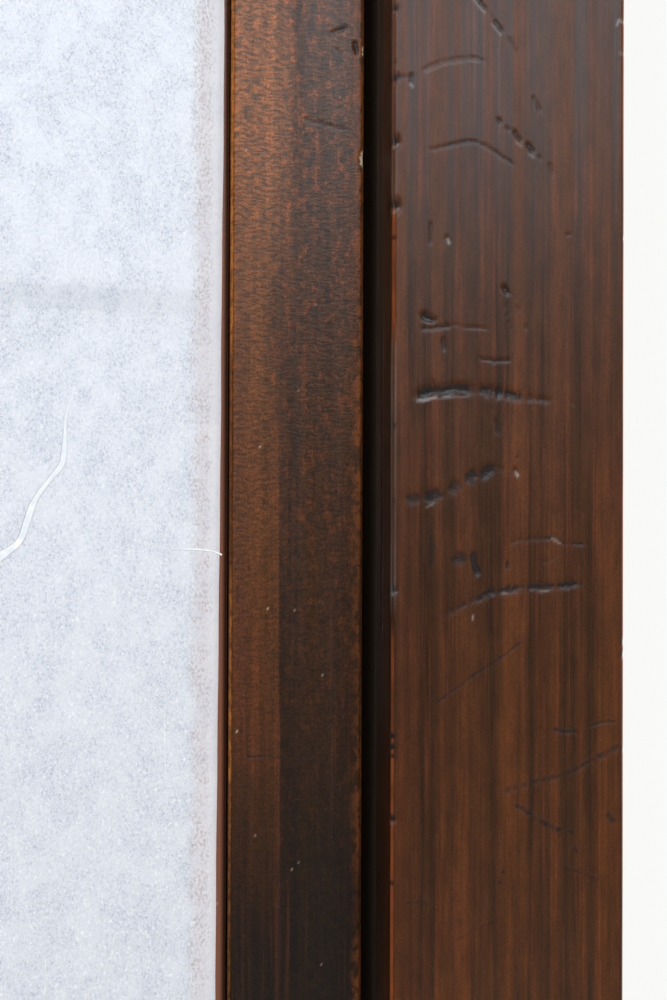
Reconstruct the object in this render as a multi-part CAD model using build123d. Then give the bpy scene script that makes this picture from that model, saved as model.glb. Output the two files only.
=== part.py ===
from build123d import *
import os

# A pair of shoji sliding screens in their wooden frame: two jambs, a grooved head, a grooved sill,
# and two papered lattice panels that slide past each other in parallel grooves.
# Millimetres. X runs along the opening, Y from the papered side (front) to the lattice side (back),
# Z upwards. The origin is on the floor, in the middle of the frame.

# Opening and fixed frame
opening_width = 1688.0
opening_height = 1757.0
jamb_face = 66.0
groove_margin = 18.0  # from a jamb's face to the nearer groove
sill_thickness = 45.0
head_thickness = 45.0
sill_groove_depth = 3.0
head_groove_depth = 15.0
track_setback = 3.0  # head and sill stand back from the jambs' faces
jamb_chamfer = 0.8
track_chamfer = 0.8

# Frame corner joints: a housing with two stub tenons, each with a screw in its end
housing_depth = 6.0
frame_tenon_width = 16.0
frame_tenon_length = 30.0
frame_tenon_cheek = 8.0  # wood above and below a tenon
mortise_end_gap = 0.5
screw_length = 75.0
screw_shank_radius = 2.5
screw_head_radius = 5.0
screw_head_height = 3.0
screw_tip_length = 6.0
screw_play = 0.1
screw_cross_width = 1.2
screw_cross_depth = 1.8

# Sliding panels
panel_thickness = 30.0
passing_gap = 3.0  # between the two panels
tongue_shoulder = 5.5  # cut from each face of a panel, to leave its tongues
tongue_play = 1.0  # at each side of a tongue in its groove
stile_width = 44.0
top_rail_height = 42.0  # under the tongue
bottom_rail_height = 68.0  # above the tongue
panel_chamfer = 0.8
jamb_gap = 3.4  # between a closed panel and its jamb
running_gap = 0.3  # between a panel and the floor of its groove
lift_gap = 0.3  # between a lifted panel and the top of the sill, as it comes out
top_shoulder_gap = 1.0  # between a lifted panel's shoulder and the head
bottom_shoulder_gap = 1.5
rail_tenon_thickness = 9.0
rail_tenon_cover = 10.0  # wood left between a tenon and the stile's outer edge
rail_tenon_inset = 10.0  # from a rail's inner edge to its tenon
rail_tenon_cheek = 6.0  # from a rail's shoulder to its tenon

# Finger pulls, cut into both faces of the stile next to the jamb
pull_width = 13.0
pull_length = 70.0
pull_depth = 7.0
pull_height = 900.0  # of its centre, over the floor

# Lattice of half-lapped bars
bar_face = 6.0
bar_depth = 15.0
cross_bar_count = 7
upright_count = 2
bar_tenon_side_shoulder = 1.0
bar_tenon_face_shoulder = 2.5
bar_tenon_length = 8.0

# Paper, pasted on the lattice and on a ledge round the panel
ledge_width = 8.0
ledge_depth = 3.0
paper_thickness = 0.25
paper_margin = 1.4  # bare ledge left beside the paper

# Frame places
tongue_thickness = panel_thickness - 2 * tongue_shoulder
groove_width = tongue_thickness + 2 * tongue_play
groove_y = (panel_thickness + passing_gap) / 2
groove_near_y = groove_y - groove_width / 2
groove_far_y = groove_y + groove_width / 2
jamb_edge_y = groove_far_y + groove_margin
track_edge_y = jamb_edge_y - track_setback
sill_top = sill_thickness
head_underside = sill_top + opening_height
frame_height = head_underside + head_thickness
track_end_x = opening_width / 2 + housing_depth
frame_tenon_end_x = track_end_x + frame_tenon_length
jamb_outer_x = opening_width / 2 + jamb_face
sill_tenon_bottom = frame_tenon_cheek
sill_tenon_top = sill_top - sill_groove_depth - frame_tenon_cheek
head_tenon_bottom = head_underside + head_groove_depth + frame_tenon_cheek
head_tenon_top = frame_height - frame_tenon_cheek
track_tenons = [(sill_tenon_bottom, sill_tenon_top), (head_tenon_bottom, head_tenon_top)]

# Panel places
panel_width = (opening_width + stile_width) / 2
panel_bottom = sill_top - sill_groove_depth + running_gap
panel_lift = sill_groove_depth - running_gap + lift_gap
panel_top = head_underside + head_groove_depth - panel_lift
bottom_shoulder = sill_top + bottom_shoulder_gap
top_shoulder = head_underside - panel_lift - top_shoulder_gap
rail_tenon_length = stile_width - rail_tenon_cover
bar_tenon_face = bar_face - 2 * bar_tenon_side_shoulder
bar_tenon_depth = bar_depth - 2 * bar_tenon_face_shoulder
lattice_bottom = bottom_shoulder + bottom_rail_height
lattice_top = top_shoulder - top_rail_height
lattice_height = lattice_top - lattice_bottom
lattice_width = panel_width - 2 * stile_width
row_pitch = (lattice_height + bar_face) / (cross_bar_count + 1)
column_pitch = (lattice_width + bar_face) / (upright_count + 1)


def block(x_span, y_span, z_span):
    """A box between two X, two Y and two Z values."""
    (x0, x1), (y0, y1), (z0, z1) = sorted(x_span), sorted(y_span), sorted(z_span)
    return Pos(x0, y0, z0) * Box(x1 - x0, y1 - y0, z1 - z0, align=Align.MIN)


def bar_along_x(outline, x_span):
    """An outline of (y, z) points, drawn out along X."""
    x0, x1 = sorted(x_span)
    face = Plane.YZ.offset(x0) * Polygon(*outline, align=None)
    return extrude(face, amount=x1 - x0, dir=(1, 0, 0))


def bar_along_z(outline, z_span):
    """An outline of (x, y) points, drawn out along Z."""
    z0, z1 = sorted(z_span)
    face = Plane.XY.offset(z0) * Polygon(*outline, align=None)
    return extrude(face, amount=z1 - z0, dir=(0, 0, 1))


# Fixed frame

def screw_profile(play=0.0):
    """Half of a countersunk screw, head at the top of Z; play widens it into the hole for it."""
    head, shank = screw_head_radius + play, screw_shank_radius + play
    length = screw_length + play
    outline = [
        (0, 0),
        (head, 0),
        (shank, -screw_head_height - play),
        (shank, -length + screw_tip_length),
        (0, -length),
    ]
    return revolve(Plane.XZ * Polygon(*outline, align=None), axis=Axis.Z)


def corner_places():
    """Centre of each corner screw's head, with the side of the frame that it is driven from."""
    for side in (-1, 1):
        for tenon_bottom, tenon_top in track_tenons:
            for y in (-groove_y, groove_y):
                yield side, (side * jamb_outer_x, y, (tenon_bottom + tenon_top) / 2)


def turned_to_side(shape, side, place):
    """Lays a screw on its side, with its head facing out of the frame, at its place."""
    return Pos(*place) * Rot(0, 90 * side, 0) * shape


def corner_screws():
    cross = Box(screw_cross_width, 2 * screw_shank_radius, 2 * screw_cross_depth)
    screw = screw_profile() - cross - Rot(0, 0, 90) * cross
    return [turned_to_side(screw, side, place) for side, place in corner_places()]


def corner_holes():
    """The countersunk holes that the corner screws fill, flush with the outer side of the jamb."""
    hole = screw_profile(screw_play)
    return [turned_to_side(hole, side, place) for side, place in corner_places()]


def frame_tenon(side, y, z_span, end_gap=0.0):
    x_span = (side * (track_end_x - housing_depth), side * (frame_tenon_end_x + end_gap))
    return block(x_span, (y - frame_tenon_width / 2, y + frame_tenon_width / 2), z_span)


def track(outline, tenon_span):
    """The head or the sill: a grooved bar with two stub tenons at each end."""
    bar = bar_along_x(outline, (-track_end_x, track_end_x))
    for side in (-1, 1):
        for y in (-groove_y, groove_y):
            bar += frame_tenon(side, y, tenon_span)
    return bar


def track_outline(edge_z, groove_floor_z, outer_z):
    """(y, z) points of the head or the sill, from the front to the back along its grooved side."""
    inward = 1 if edge_z > outer_z else -1
    front_half = [
        (-track_edge_y, outer_z),
        (-track_edge_y, edge_z - inward * track_chamfer),
        (-track_edge_y + track_chamfer, edge_z),
        (-groove_far_y, edge_z),
        (-groove_far_y, groove_floor_z),
        (-groove_near_y, groove_floor_z),
        (-groove_near_y, edge_z),
    ]
    return front_half + [(-y, z) for y, z in reversed(front_half)]


def sill():
    return track(track_outline(sill_top, sill_top - sill_groove_depth, 0), track_tenons[0])


def head():
    outline = track_outline(head_underside, head_underside + head_groove_depth, frame_height)
    return track(outline, track_tenons[1])


def jamb(side, tracks, holes):
    """A post of the frame, cut to the ends of the head and the sill."""
    inner, outer, edge, c = opening_width / 2, jamb_outer_x, jamb_edge_y, jamb_chamfer
    outline = [
        (inner + c, -edge),
        (outer - c, -edge),
        (outer, -edge + c),
        (outer, edge - c),
        (outer - c, edge),
        (inner + c, edge),
        (inner, edge - c),
        (inner, -edge + c),
    ]
    post = bar_along_z([(side * x, y) for x, y in outline], (0, frame_height))
    for track_bar in tracks:
        post -= track_bar
    for y in (-groove_y, groove_y):
        for tenon_span in track_tenons:
            post -= frame_tenon(side, y, tenon_span, mortise_end_gap)
    for hole in holes:
        post -= hole
    return post


def fixed_frame():
    holes = corner_holes()
    sill_bar, head_bar = sill(), head()
    nodes = {
        "left_jamb": jamb(-1, (sill_bar, head_bar), holes),
        "right_jamb": jamb(1, (sill_bar, head_bar), holes),
    }
    for hole in holes:
        sill_bar -= hole
        head_bar -= hole
    nodes["sill"] = sill_bar
    nodes["head"] = head_bar
    nodes["corner_screws"] = Compound(children=corner_screws())
    return nodes


# Sliding panels

class Panel:
    """Places of one panel. Side 1 is the right panel in the front groove, -1 the left in the rear."""

    def __init__(self, name, side):
        self.name = name
        self.side = side
        self.middle_y = -side * groove_y
        self.front_y = self.middle_y - panel_thickness / 2
        self.back_y = self.middle_y + panel_thickness / 2
        self.paste_y = self.front_y + ledge_depth
        self.jamb_side_x = side * (opening_width / 2 - jamb_gap)
        self.meeting_side_x = self.jamb_side_x - side * panel_width
        self.left_x = min(self.jamb_side_x, self.meeting_side_x)
        self.right_x = max(self.jamb_side_x, self.meeting_side_x)
        self.lattice_left = self.left_x + stile_width
        self.lattice_right = self.right_x - stile_width

    def row_z(self, row):
        return lattice_bottom - bar_face / 2 + row * row_pitch

    def column_x(self, column):
        return self.lattice_left - bar_face / 2 + column * column_pitch

    def cross_bar_over(self, row, column):
        """True where the cross bar passes in front, so that the lattice is woven."""
        return (row + column) % 2 == 0


def tongue_steps(panel, x_span):
    """What is cut away to leave the tongues that run in the head and the sill."""
    half = tongue_thickness / 2
    steps = []
    for z_span in ((panel_bottom, bottom_shoulder), (top_shoulder, panel_top)):
        steps.append(block(x_span, (panel.front_y, panel.middle_y - half), z_span))
        steps.append(block(x_span, (panel.middle_y + half, panel.back_y), z_span))
    return steps


def stile_blank(panel, outer_x, inward):
    """A stile before its mortises: outer_x is its outer edge and inward points to the lattice."""
    front, back, paste, c = panel.front_y, panel.back_y, panel.paste_y, panel_chamfer
    step = stile_width - ledge_width
    outline = [
        (c, front),
        (step - c, front),
        (step, front + c),
        (step, paste),
        (stile_width, paste),
        (stile_width, back - c),
        (stile_width - c, back),
        (c, back),
        (0, back - c),
        (0, front + c),
    ]
    stile = bar_along_z([(outer_x + inward * x, y) for x, y in outline], (panel_bottom, panel_top))
    for step_cut in tongue_steps(panel, (outer_x, outer_x + inward * stile_width)):
        stile -= step_cut
    return stile


def rail_outline(panel, tongue_z, shoulder_z, inner_z):
    """(y, z) points of a rail, from its tongue to its inner edge beside the lattice."""
    front, back, paste, middle = panel.front_y, panel.back_y, panel.paste_y, panel.middle_y
    half, c = tongue_thickness / 2, panel_chamfer
    inward = 1 if inner_z > shoulder_z else -1
    step_z = inner_z - inward * ledge_width
    return [
        (middle - half, tongue_z),
        (middle + half, tongue_z),
        (middle + half, shoulder_z),
        (back, shoulder_z),
        (back, inner_z - inward * c),
        (back - c, inner_z),
        (paste, inner_z),
        (paste, step_z),
        (front + c, step_z),
        (front, step_z - inward * c),
        (front, shoulder_z),
        (middle - half, shoulder_z),
    ]


def rail_tenon_span(shoulder_z, inner_z):
    inward = 1 if inner_z > shoulder_z else -1
    return (shoulder_z + inward * rail_tenon_cheek, inner_z - inward * rail_tenon_inset)


def rail_tenon(panel, outer_x, inward, z_span, end_gap=0.0):
    inner_x = outer_x + inward * stile_width
    x_span = (inner_x, inner_x - inward * (rail_tenon_length + end_gap))
    half = rail_tenon_thickness / 2
    return block(x_span, (panel.middle_y - half, panel.middle_y + half), z_span)


def bar_y(panel):
    return (panel.paste_y, panel.paste_y + bar_depth)


def bar_tenon_y(panel):
    middle = panel.paste_y + bar_depth / 2
    return (middle - bar_tenon_depth / 2, middle + bar_tenon_depth / 2)


def cross_bar_tenon(panel, row, outer_x, inward, end_gap=0.0):
    inner_x = outer_x + inward * stile_width
    z = panel.row_z(row)
    x_span = (inner_x, inner_x - inward * (bar_tenon_length + end_gap))
    return block(x_span, bar_tenon_y(panel), (z - bar_tenon_face / 2, z + bar_tenon_face / 2))


def upright_tenon(panel, column, inner_z, outward, end_gap=0.0):
    x = panel.column_x(column)
    z_span = (inner_z, inner_z + outward * (bar_tenon_length + end_gap))
    return block((x - bar_tenon_face / 2, x + bar_tenon_face / 2), bar_tenon_y(panel), z_span)


def finger_pull(panel, middle_x):
    """The two recesses of a stile's finger pull, one in each face."""
    slot = Rot(0, 0, 90) * SlotOverall(pull_length, pull_width)
    upright = Plane(origin=(middle_x, panel.front_y, pull_height), x_dir=(1, 0, 0), z_dir=(0, 1, 0))
    front = extrude(upright * slot, amount=pull_depth, dir=(0, 1, 0))
    back = Pos(0, panel_thickness - pull_depth, 0) * front
    return [front, back]


def stile(panel, outer_x, inward, with_pull):
    body = stile_blank(panel, outer_x, inward)
    for shoulder_z, inner_z in ((bottom_shoulder, lattice_bottom), (top_shoulder, lattice_top)):
        tenon_span = rail_tenon_span(shoulder_z, inner_z)
        body -= rail_tenon(panel, outer_x, inward, tenon_span, mortise_end_gap)
    for row in range(1, cross_bar_count + 1):
        body -= cross_bar_tenon(panel, row, outer_x, inward, mortise_end_gap)
    if with_pull:
        for recess in finger_pull(panel, outer_x + inward * (stile_width - ledge_width) / 2):
            body -= recess
    return body


def rail(panel, tongue_z, shoulder_z, inner_z, outward, stile_blanks):
    """A rail with its shoulders cut to the stiles' chamfers and ledges, and a tenon at each end."""
    ledge_reach = ledge_width + panel_chamfer
    x_span = (panel.lattice_left - ledge_reach, panel.lattice_right + ledge_reach)
    body = bar_along_x(rail_outline(panel, tongue_z, shoulder_z, inner_z), x_span)
    for blank in stile_blanks:
        body -= blank
    tenon_span = rail_tenon_span(shoulder_z, inner_z)
    for outer_x, inward in ((panel.left_x, 1), (panel.right_x, -1)):
        body += rail_tenon(panel, outer_x, inward, tenon_span)
    for column in range(1, upright_count + 1):
        body -= upright_tenon(panel, column, inner_z, outward, mortise_end_gap)
    return body


def lap_y(panel, in_front):
    """The half of a bar's depth that the other bar takes at a crossing."""
    middle = panel.paste_y + bar_depth / 2
    return (panel.paste_y, middle) if in_front else (middle, panel.paste_y + bar_depth)


def cross_bar(panel, row):
    z = panel.row_z(row)
    z_span = (z - bar_face / 2, z + bar_face / 2)
    bar = block((panel.lattice_left, panel.lattice_right), bar_y(panel), z_span)
    for outer_x, inward in ((panel.left_x, 1), (panel.right_x, -1)):
        bar += cross_bar_tenon(panel, row, outer_x, inward)
    for column in range(1, upright_count + 1):
        x = panel.column_x(column)
        notch_y = lap_y(panel, not panel.cross_bar_over(row, column))
        bar -= block((x - bar_face / 2, x + bar_face / 2), notch_y, z_span)
    return bar


def upright(panel, column):
    x = panel.column_x(column)
    x_span = (x - bar_face / 2, x + bar_face / 2)
    bar = block(x_span, bar_y(panel), (lattice_bottom, lattice_top))
    bar += upright_tenon(panel, column, lattice_bottom, -1)
    bar += upright_tenon(panel, column, lattice_top, 1)
    for row in range(1, cross_bar_count + 1):
        z = panel.row_z(row)
        notch_y = lap_y(panel, panel.cross_bar_over(row, column))
        bar -= block(x_span, notch_y, (z - bar_face / 2, z + bar_face / 2))
    return bar


def paper(panel):
    """One sheet, pasted on the front of the lattice and on the ledges round it."""
    reach = ledge_width - paper_margin
    return block(
        (panel.lattice_left - reach, panel.lattice_right + reach),
        (panel.paste_y - paper_thickness, panel.paste_y),
        (lattice_bottom - reach, lattice_top + reach),
    )


def sliding_panel(panel):
    name, side = panel.name, panel.side
    blanks = [stile_blank(panel, panel.left_x, 1), stile_blank(panel, panel.right_x, -1)]
    nodes = {
        f"{name}_pull_stile": stile(panel, panel.jamb_side_x, -side, True),
        f"{name}_meeting_stile": stile(panel, panel.meeting_side_x, side, False),
        f"{name}_top_rail": rail(panel, panel_top, top_shoulder, lattice_top, 1, blanks),
        f"{name}_bottom_rail": rail(panel, panel_bottom, bottom_shoulder, lattice_bottom, -1, blanks),
        f"{name}_paper": paper(panel),
    }
    for row in range(1, cross_bar_count + 1):
        nodes[f"{name}_cross_bar_{row}"] = cross_bar(panel, row)
    for column in range(1, upright_count + 1):
        nodes[f"{name}_upright_{column}"] = upright(panel, column)
    return nodes


def main():
    os.makedirs("parts", exist_ok=True)
    nodes = fixed_frame()
    nodes |= sliding_panel(Panel("front", 1))
    nodes |= sliding_panel(Panel("rear", -1))
    for name, shape in nodes.items():
        export_step(shape, f"parts/{name}.step")
    print(len(nodes), "nodes, frame", 2 * jamb_outer_x, "x", 2 * jamb_edge_y, "x", frame_height)
    print("panel", panel_width, "wide, travel", opening_width - panel_width - jamb_gap)


main()
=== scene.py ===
import bpy
import bmesh
import math
import numpy as np
from mathutils import Vector, Matrix


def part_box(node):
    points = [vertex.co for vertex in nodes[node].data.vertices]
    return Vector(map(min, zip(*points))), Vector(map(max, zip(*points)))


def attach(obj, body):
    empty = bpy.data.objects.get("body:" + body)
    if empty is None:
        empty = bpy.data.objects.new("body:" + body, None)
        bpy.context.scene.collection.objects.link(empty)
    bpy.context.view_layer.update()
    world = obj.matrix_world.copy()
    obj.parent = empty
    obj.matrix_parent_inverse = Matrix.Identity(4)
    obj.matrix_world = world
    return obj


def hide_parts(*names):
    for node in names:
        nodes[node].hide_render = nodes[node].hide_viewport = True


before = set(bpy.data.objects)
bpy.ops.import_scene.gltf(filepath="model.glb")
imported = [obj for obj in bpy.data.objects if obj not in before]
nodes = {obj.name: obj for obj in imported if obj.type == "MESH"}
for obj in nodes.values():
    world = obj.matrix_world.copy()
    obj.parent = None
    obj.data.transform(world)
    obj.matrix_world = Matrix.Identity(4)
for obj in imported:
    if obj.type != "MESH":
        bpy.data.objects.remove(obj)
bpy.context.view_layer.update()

mm = 0.001
print("frame loaded,", len(nodes), "nodes")


# Camera, fitted to the straight edges in the photo

photoView = {
    "width": 667.0, "height": 1000.0,  # the photo's frame, in pixels
    "focal": 1400.0,  # in pixels
    "place": (0.7286, -0.3839, 1.2930),
    "yaw": 16.41, "pitch": 0.58, "roll": 0.20,  # degrees, yaw towards +X
    "sensor": 36.0,  # mm, along the longer side
    "nearest": 0.01,  # metres, nothing closer is seen
}


def viewAxes(view):
    yaw, pitch, roll = (math.radians(view[k]) for k in ("yaw", "pitch", "roll"))
    forward = Vector((math.sin(yaw) * math.cos(pitch), math.cos(yaw) * math.cos(pitch), math.sin(pitch)))
    side = Vector((math.cos(yaw), -math.sin(yaw), 0))
    up = side.cross(forward)
    return side * math.cos(roll) + up * math.sin(roll), up * math.cos(roll) - side * math.sin(roll), forward


viewRight, viewUp, viewForward = viewAxes(photoView)


def fromPhoto(px, py, y):
    # the point of the plane Y = y that a pixel of the photo shows
    ray = viewForward + viewRight * ((px - photoView["width"] / 2) / photoView["focal"])
    ray = ray + viewUp * ((photoView["height"] / 2 - py) / photoView["focal"])
    eye = Vector(photoView["place"])
    return eye + ray * ((y - eye.y) / ray.y)


def makeCamera(view):
    data = bpy.data.cameras.new("photoCamera")
    data.sensor_width = view["sensor"]
    data.lens = view["focal"] * view["sensor"] / view["height"]
    data.clip_start = view["nearest"]
    camera = bpy.data.objects.new("photoCamera", data)
    bpy.context.collection.objects.link(camera)
    turn = Matrix((viewRight, viewUp, -viewForward)).transposed().to_4x4()
    camera.matrix_world = Matrix.Translation(view["place"]) @ turn
    bpy.context.scene.camera = camera


makeCamera(photoView)
print("camera set")


# Small helpers for meshes and nodes

def colour(red, green, blue):
    # a colour as picked on the screen, 0 to 255, made linear
    parts = (part / 255 for part in (red, green, blue))
    return tuple(c / 12.92 if c <= 0.04045 else ((c + 0.055) / 1.055) ** 2.4 for c in parts) + (1.0,)


class Field:
    # what one output of a node gives; plain arithmetic with it adds the nodes that do the sum

    def __init__(self, tree, socket):
        self.tree = tree
        self.socket = socket

    def __add__(self, other):
        return maths("ADD", self, other)

    def __sub__(self, other):
        return maths("SUBTRACT", self, other)

    def __rsub__(self, other):
        return maths("SUBTRACT", other, self)

    def __mul__(self, other):
        return maths("MULTIPLY", self, other)

    def __truediv__(self, other):
        return maths("DIVIDE", self, other)

    def __abs__(self):
        return maths("ABSOLUTE", self)


def treeOf(*values):
    return next(value.tree for value in values if isinstance(value, Field))


def addNode(tree, kind, inputs=None, **settings):
    node = tree.nodes.new(kind)
    for name, value in settings.items():
        setattr(node, name, value)
    for name, value in (inputs or {}).items():
        if isinstance(value, Field):
            tree.links.new(value.socket, node.inputs[name])
        else:
            node.inputs[name].default_value = value
    return node


def field(tree, kind, inputs=None, output=0, **settings):
    return Field(tree, addNode(tree, kind, inputs, **settings).outputs[output])


def fields(tree, kind, inputs=None, **settings):
    return [Field(tree, socket) for socket in addNode(tree, kind, inputs, **settings).outputs]


def partsOf(vector):
    return fields(vector.tree, "ShaderNodeSeparateXYZ", {0: vector})


def maths(kind, a, b=0.0):
    return field(treeOf(a, b), "ShaderNodeMath", {0: a, 1: b}, operation=kind)


def vectorMaths(kind, a, b, **more):
    return field(a.tree, "ShaderNodeVectorMath", {0: a, 1: b, **more}, operation=kind)


def noise(place, scale, detail=2.0, roughness=0.5, distortion=0.0, shift=(0, 0, 0), output=0):
    # scale is one number, or three where the pattern is drawn out along an axis
    if isinstance(scale, tuple):
        place = field(place.tree, "ShaderNodeMapping", {"Vector": place, "Scale": scale, "Location": shift})
        scale = 1.0
    inputs = {"Vector": place, "Scale": scale, "Detail": detail}
    inputs.update({"Roughness": roughness, "Distortion": distortion})
    return field(place.tree, "ShaderNodeTexNoise", inputs, output)


def moved(place, drift, amount):
    # places moved by a coloured noise, half of amount each way
    drift = vectorMaths("SUBTRACT", drift, (0.5, 0.5, 0.5))
    return vectorMaths("ADD", place, vectorMaths("SCALE", drift, (0, 0, 0), Scale=amount))


def ramp(value, low, high, toLow=0.0, toHigh=1.0, kind="SMOOTHSTEP"):
    inputs = {"Value": value, "From Min": low, "From Max": high, "To Min": toLow, "To Max": toHigh}
    return field(value.tree, "ShaderNodeMapRange", inputs, interpolation_type=kind)


def blend(amount, a, b, kind="MIX"):
    inputs = {0: amount, 6: a, 7: b}  # the sockets for colours come after those for numbers and vectors
    return field(treeOf(amount, a, b), "ShaderNodeMix", inputs, 2, data_type="RGBA", blend_type=kind)


def newMaterial(name):
    # an empty material, and the place on the piece in metres
    material = bpy.data.materials.new(name)
    material.use_nodes = True
    material.node_tree.nodes.clear()
    return material, field(material.node_tree, "ShaderNodeTexCoord", output="Object")


def finishSurface(inputs, height=None, depth=0.0, seeThrough=0.0):
    # the surface itself, with relief where a height is given, and a share of light from behind
    tone = inputs["Base Color"]
    if height is not None:
        inputs["Normal"] = field(tone.tree, "ShaderNodeBump", {"Height": height, "Distance": depth})
    surface = field(tone.tree, "ShaderNodeBsdfPrincipled", inputs)
    if seeThrough:
        glow = field(tone.tree, "ShaderNodeBsdfTranslucent", {"Color": tone})
        surface = field(tone.tree, "ShaderNodeMixShader", {0: seeThrough, 1: surface, 2: glow})
    addNode(tone.tree, "ShaderNodeOutputMaterial", {"Surface": surface})


def link(name, data):
    piece = bpy.data.objects.new(name, data)
    bpy.context.collection.objects.link(piece)
    return piece


def meshObject(name, vertices, faces, material, smooth=True):
    mesh = bpy.data.meshes.new(name)
    mesh.from_pydata([tuple(v) for v in vertices], [], faces)
    mesh.materials.append(material)
    mesh.polygons.foreach_set("use_smooth", [smooth] * len(mesh.polygons))
    return link(name, mesh)


# Floor, light and backdrop

studio = {
    "floor": colour(226, 224, 219), "speckle": colour(200, 198, 192), "floorSize": 16.0,
    "floorFade": (1.6, 4.0),  # metres from the middle between which the floor goes over into the backdrop
    "backdrop": colour(249, 249, 247),
    "behind": (-0.3, 0.2),  # Y of the directions between which a mirror image goes over into the backdrop
    "ambient": (0.85, 0.93, 1.0, 1.0), "ambientStrength": 0.30,
    "keyColour": (1.0, 0.99, 0.98), "keyPower": 161.0, "keySize": (3.4, 2.0),
    "keyTarget": (0.83, -0.03, 1.29),  # the middle of the photo
    "keyAzimuth": 12.0, "keyHeight": 28.0, "keyDistance": 4.0,  # degrees towards +X, degrees up, metres
    "backColour": (1.0, 0.99, 0.98), "backPower": 58.0, "backSize": (0.9, 0.9),
    "backPlace": (-0.25, 3.4, 1.34), "backTarget": (0.5, 0.0, 1.34),
}


def rays(tree, *kinds):
    path = addNode(tree, "ShaderNodeLightPath").outputs
    return [Field(tree, path[f"Is {kind} Ray"]) for kind in kinds]


def makeFloor(settings):
    material, place = newMaterial("paleFloor")
    speckle = ramp(noise(place, 60.0, 3.0), 0.3, 0.7, 0.0, 0.04)
    pale = blend(speckle, settings["floor"], settings["speckle"])
    surface = field(place.tree, "ShaderNodeBsdfDiffuse", {"Color": pale})
    away = field(place.tree, "ShaderNodeVectorMath", {0: place}, "Value", operation="LENGTH")
    seen = maths("MAXIMUM", *rays(place.tree, "Camera", "Transmission"))
    far = seen * ramp(away, *settings["floorFade"])
    backdrop = field(place.tree, "ShaderNodeEmission", {"Color": settings["backdrop"]})
    mixed = field(place.tree, "ShaderNodeMixShader", {0: far, 1: surface, 2: backdrop})
    addNode(place.tree, "ShaderNodeOutputMaterial", {"Surface": mixed})
    half = settings["floorSize"] / 2
    corners = [(-half, -half, 0), (half, -half, 0), (half, half, 0), (-half, half, 0)]
    floor = meshObject("floor", corners, [(0, 1, 2, 3)], material, smooth=False)


def makeWorld(settings):
    world = bpy.data.worlds.new("studio")
    bpy.context.scene.world = world
    world.use_nodes = True
    tree = world.node_tree
    tree.nodes.clear()
    inputs = {"Color": settings["ambient"], "Strength": settings["ambientStrength"]}
    ambient = field(tree, "ShaderNodeBackground", inputs)
    backdrop = field(tree, "ShaderNodeBackground", {"Color": settings["backdrop"]})
    camera, glossy, through = rays(tree, "Camera", "Glossy", "Transmission")
    # gloss and glass show the pale backdrop behind the screen, and the dimmer room in front of it
    depth = partsOf(field(tree, "ShaderNodeTexCoord", output="Generated"))[1]
    mirrored = maths("MAXIMUM", glossy, through) * ramp(depth, *settings["behind"])
    seen = maths("MAXIMUM", camera, mirrored)
    mixed = field(tree, "ShaderNodeMixShader", {0: seen, 1: ambient, 2: backdrop})
    addNode(tree, "ShaderNodeOutputWorld", {"Surface": mixed})


def addLamp(settings, name, place, target):
    data = bpy.data.lights.new(name + "Light", "AREA")
    data.shape = "RECTANGLE"
    data.size, data.size_y = settings[name + "Size"]
    data.energy = settings[name + "Power"]
    data.color = settings[name + "Colour"]
    lamp = link(name + "Light", data)
    aim = (Vector(target) - Vector(place)).to_track_quat("-Z", "Y").to_matrix().to_4x4()
    lamp.matrix_world = Matrix.Translation(place) @ aim
    lamp.visible_camera = False
    return lamp


def makeLights(settings):
    azimuth, height = math.radians(settings["keyAzimuth"]), math.radians(settings["keyHeight"])
    aim = Vector(settings["keyTarget"])
    level = Vector((math.sin(azimuth), -math.cos(azimuth), 0)) * math.cos(height)
    place = aim + (level + Vector((0, 0, math.sin(height)))) * settings["keyDistance"]
    addLamp(settings, "key", place, aim)
    behind = addLamp(settings, "back", settings["backPlace"], settings["backTarget"])
    behind.visible_glossy = False  # its mirror image would show in the gap beside the jamb


makeFloor(studio)
makeWorld(studio)
makeLights(studio)
bpy.context.scene.view_settings.view_transform = "Standard"
print("studio set")


# Wood

jambWood = {
    "dark": colour(47, 31, 18), "warm": colour(90, 48, 16), "line": colour(124, 60, 32),
    "pore": colour(20, 14, 10), "arris": colour(186, 92, 38), "bare": colour(172, 166, 162),
    "dent": colour(23, 26, 26), "paintedShade": colour(70, 60, 50), "darkened": (0.0, 0.0, 0.0, 1.0),
    # the size of each pattern, per metre across the grain and along it
    "streaks": (300.0, 5.0), "hairs": (760.0, 15.0), "pores": (1500.0, 130.0), "clouds": (16.0, 5.0),
    "warp": (1.3, 3.9), "patches": (260.0, 90.0), "fineGrain": (2700.0, 2000.0), "breaks": (60.0, 26.0),
    "wander": 0.0035,  # metres that the warp moves the grain
    "lines": 0.44, "blotches": (0.86, 1.16), "fine": (0.868, 1.12),
    "stain": 0.80, "channel": (0.0315, 0.0335),  # metres from the middle plane: the sides get a painted shade inside it
    # the dented jamb is darker towards its left side and below: between these X and Z, by so much at each
    "leftShade": (0.846, 0.866, 0.30, 0.0), "leftShadeTop": (1.26, 1.35, 1.0, 0.0),
    "innerSide": (0.850, 0.855),  # metres from the middle: the outer sides get no painted shade
    "rough": 0.30, "gloss": 0.18, "shine": (0.73, 0.88, 1.0, 1.0), "relief": 0.00007,
}

latticeWood = {
    **jambWood, "dark": colour(104, 70, 50), "warm": colour(146, 98, 66), "line": colour(176, 118, 74),
    "pore": colour(64, 42, 32), "arris": colour(186, 128, 82), "gloss": 0.2, "rough": 0.5,
    "streaks": (260.0, 5.0),
}


def grainNoise(place, axis, size, detail=2.0, roughness=0.5, **more):
    # noise drawn out along one axis; size is per metre, across that axis and along it
    scale = tuple(size[1] if name == axis else size[0] for name in "XYZ")
    return noise(place, scale, detail, roughness, **more)


def faceNormal(tree):
    return partsOf(field(tree, "ShaderNodeNewGeometry", output="True Normal"))


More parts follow.
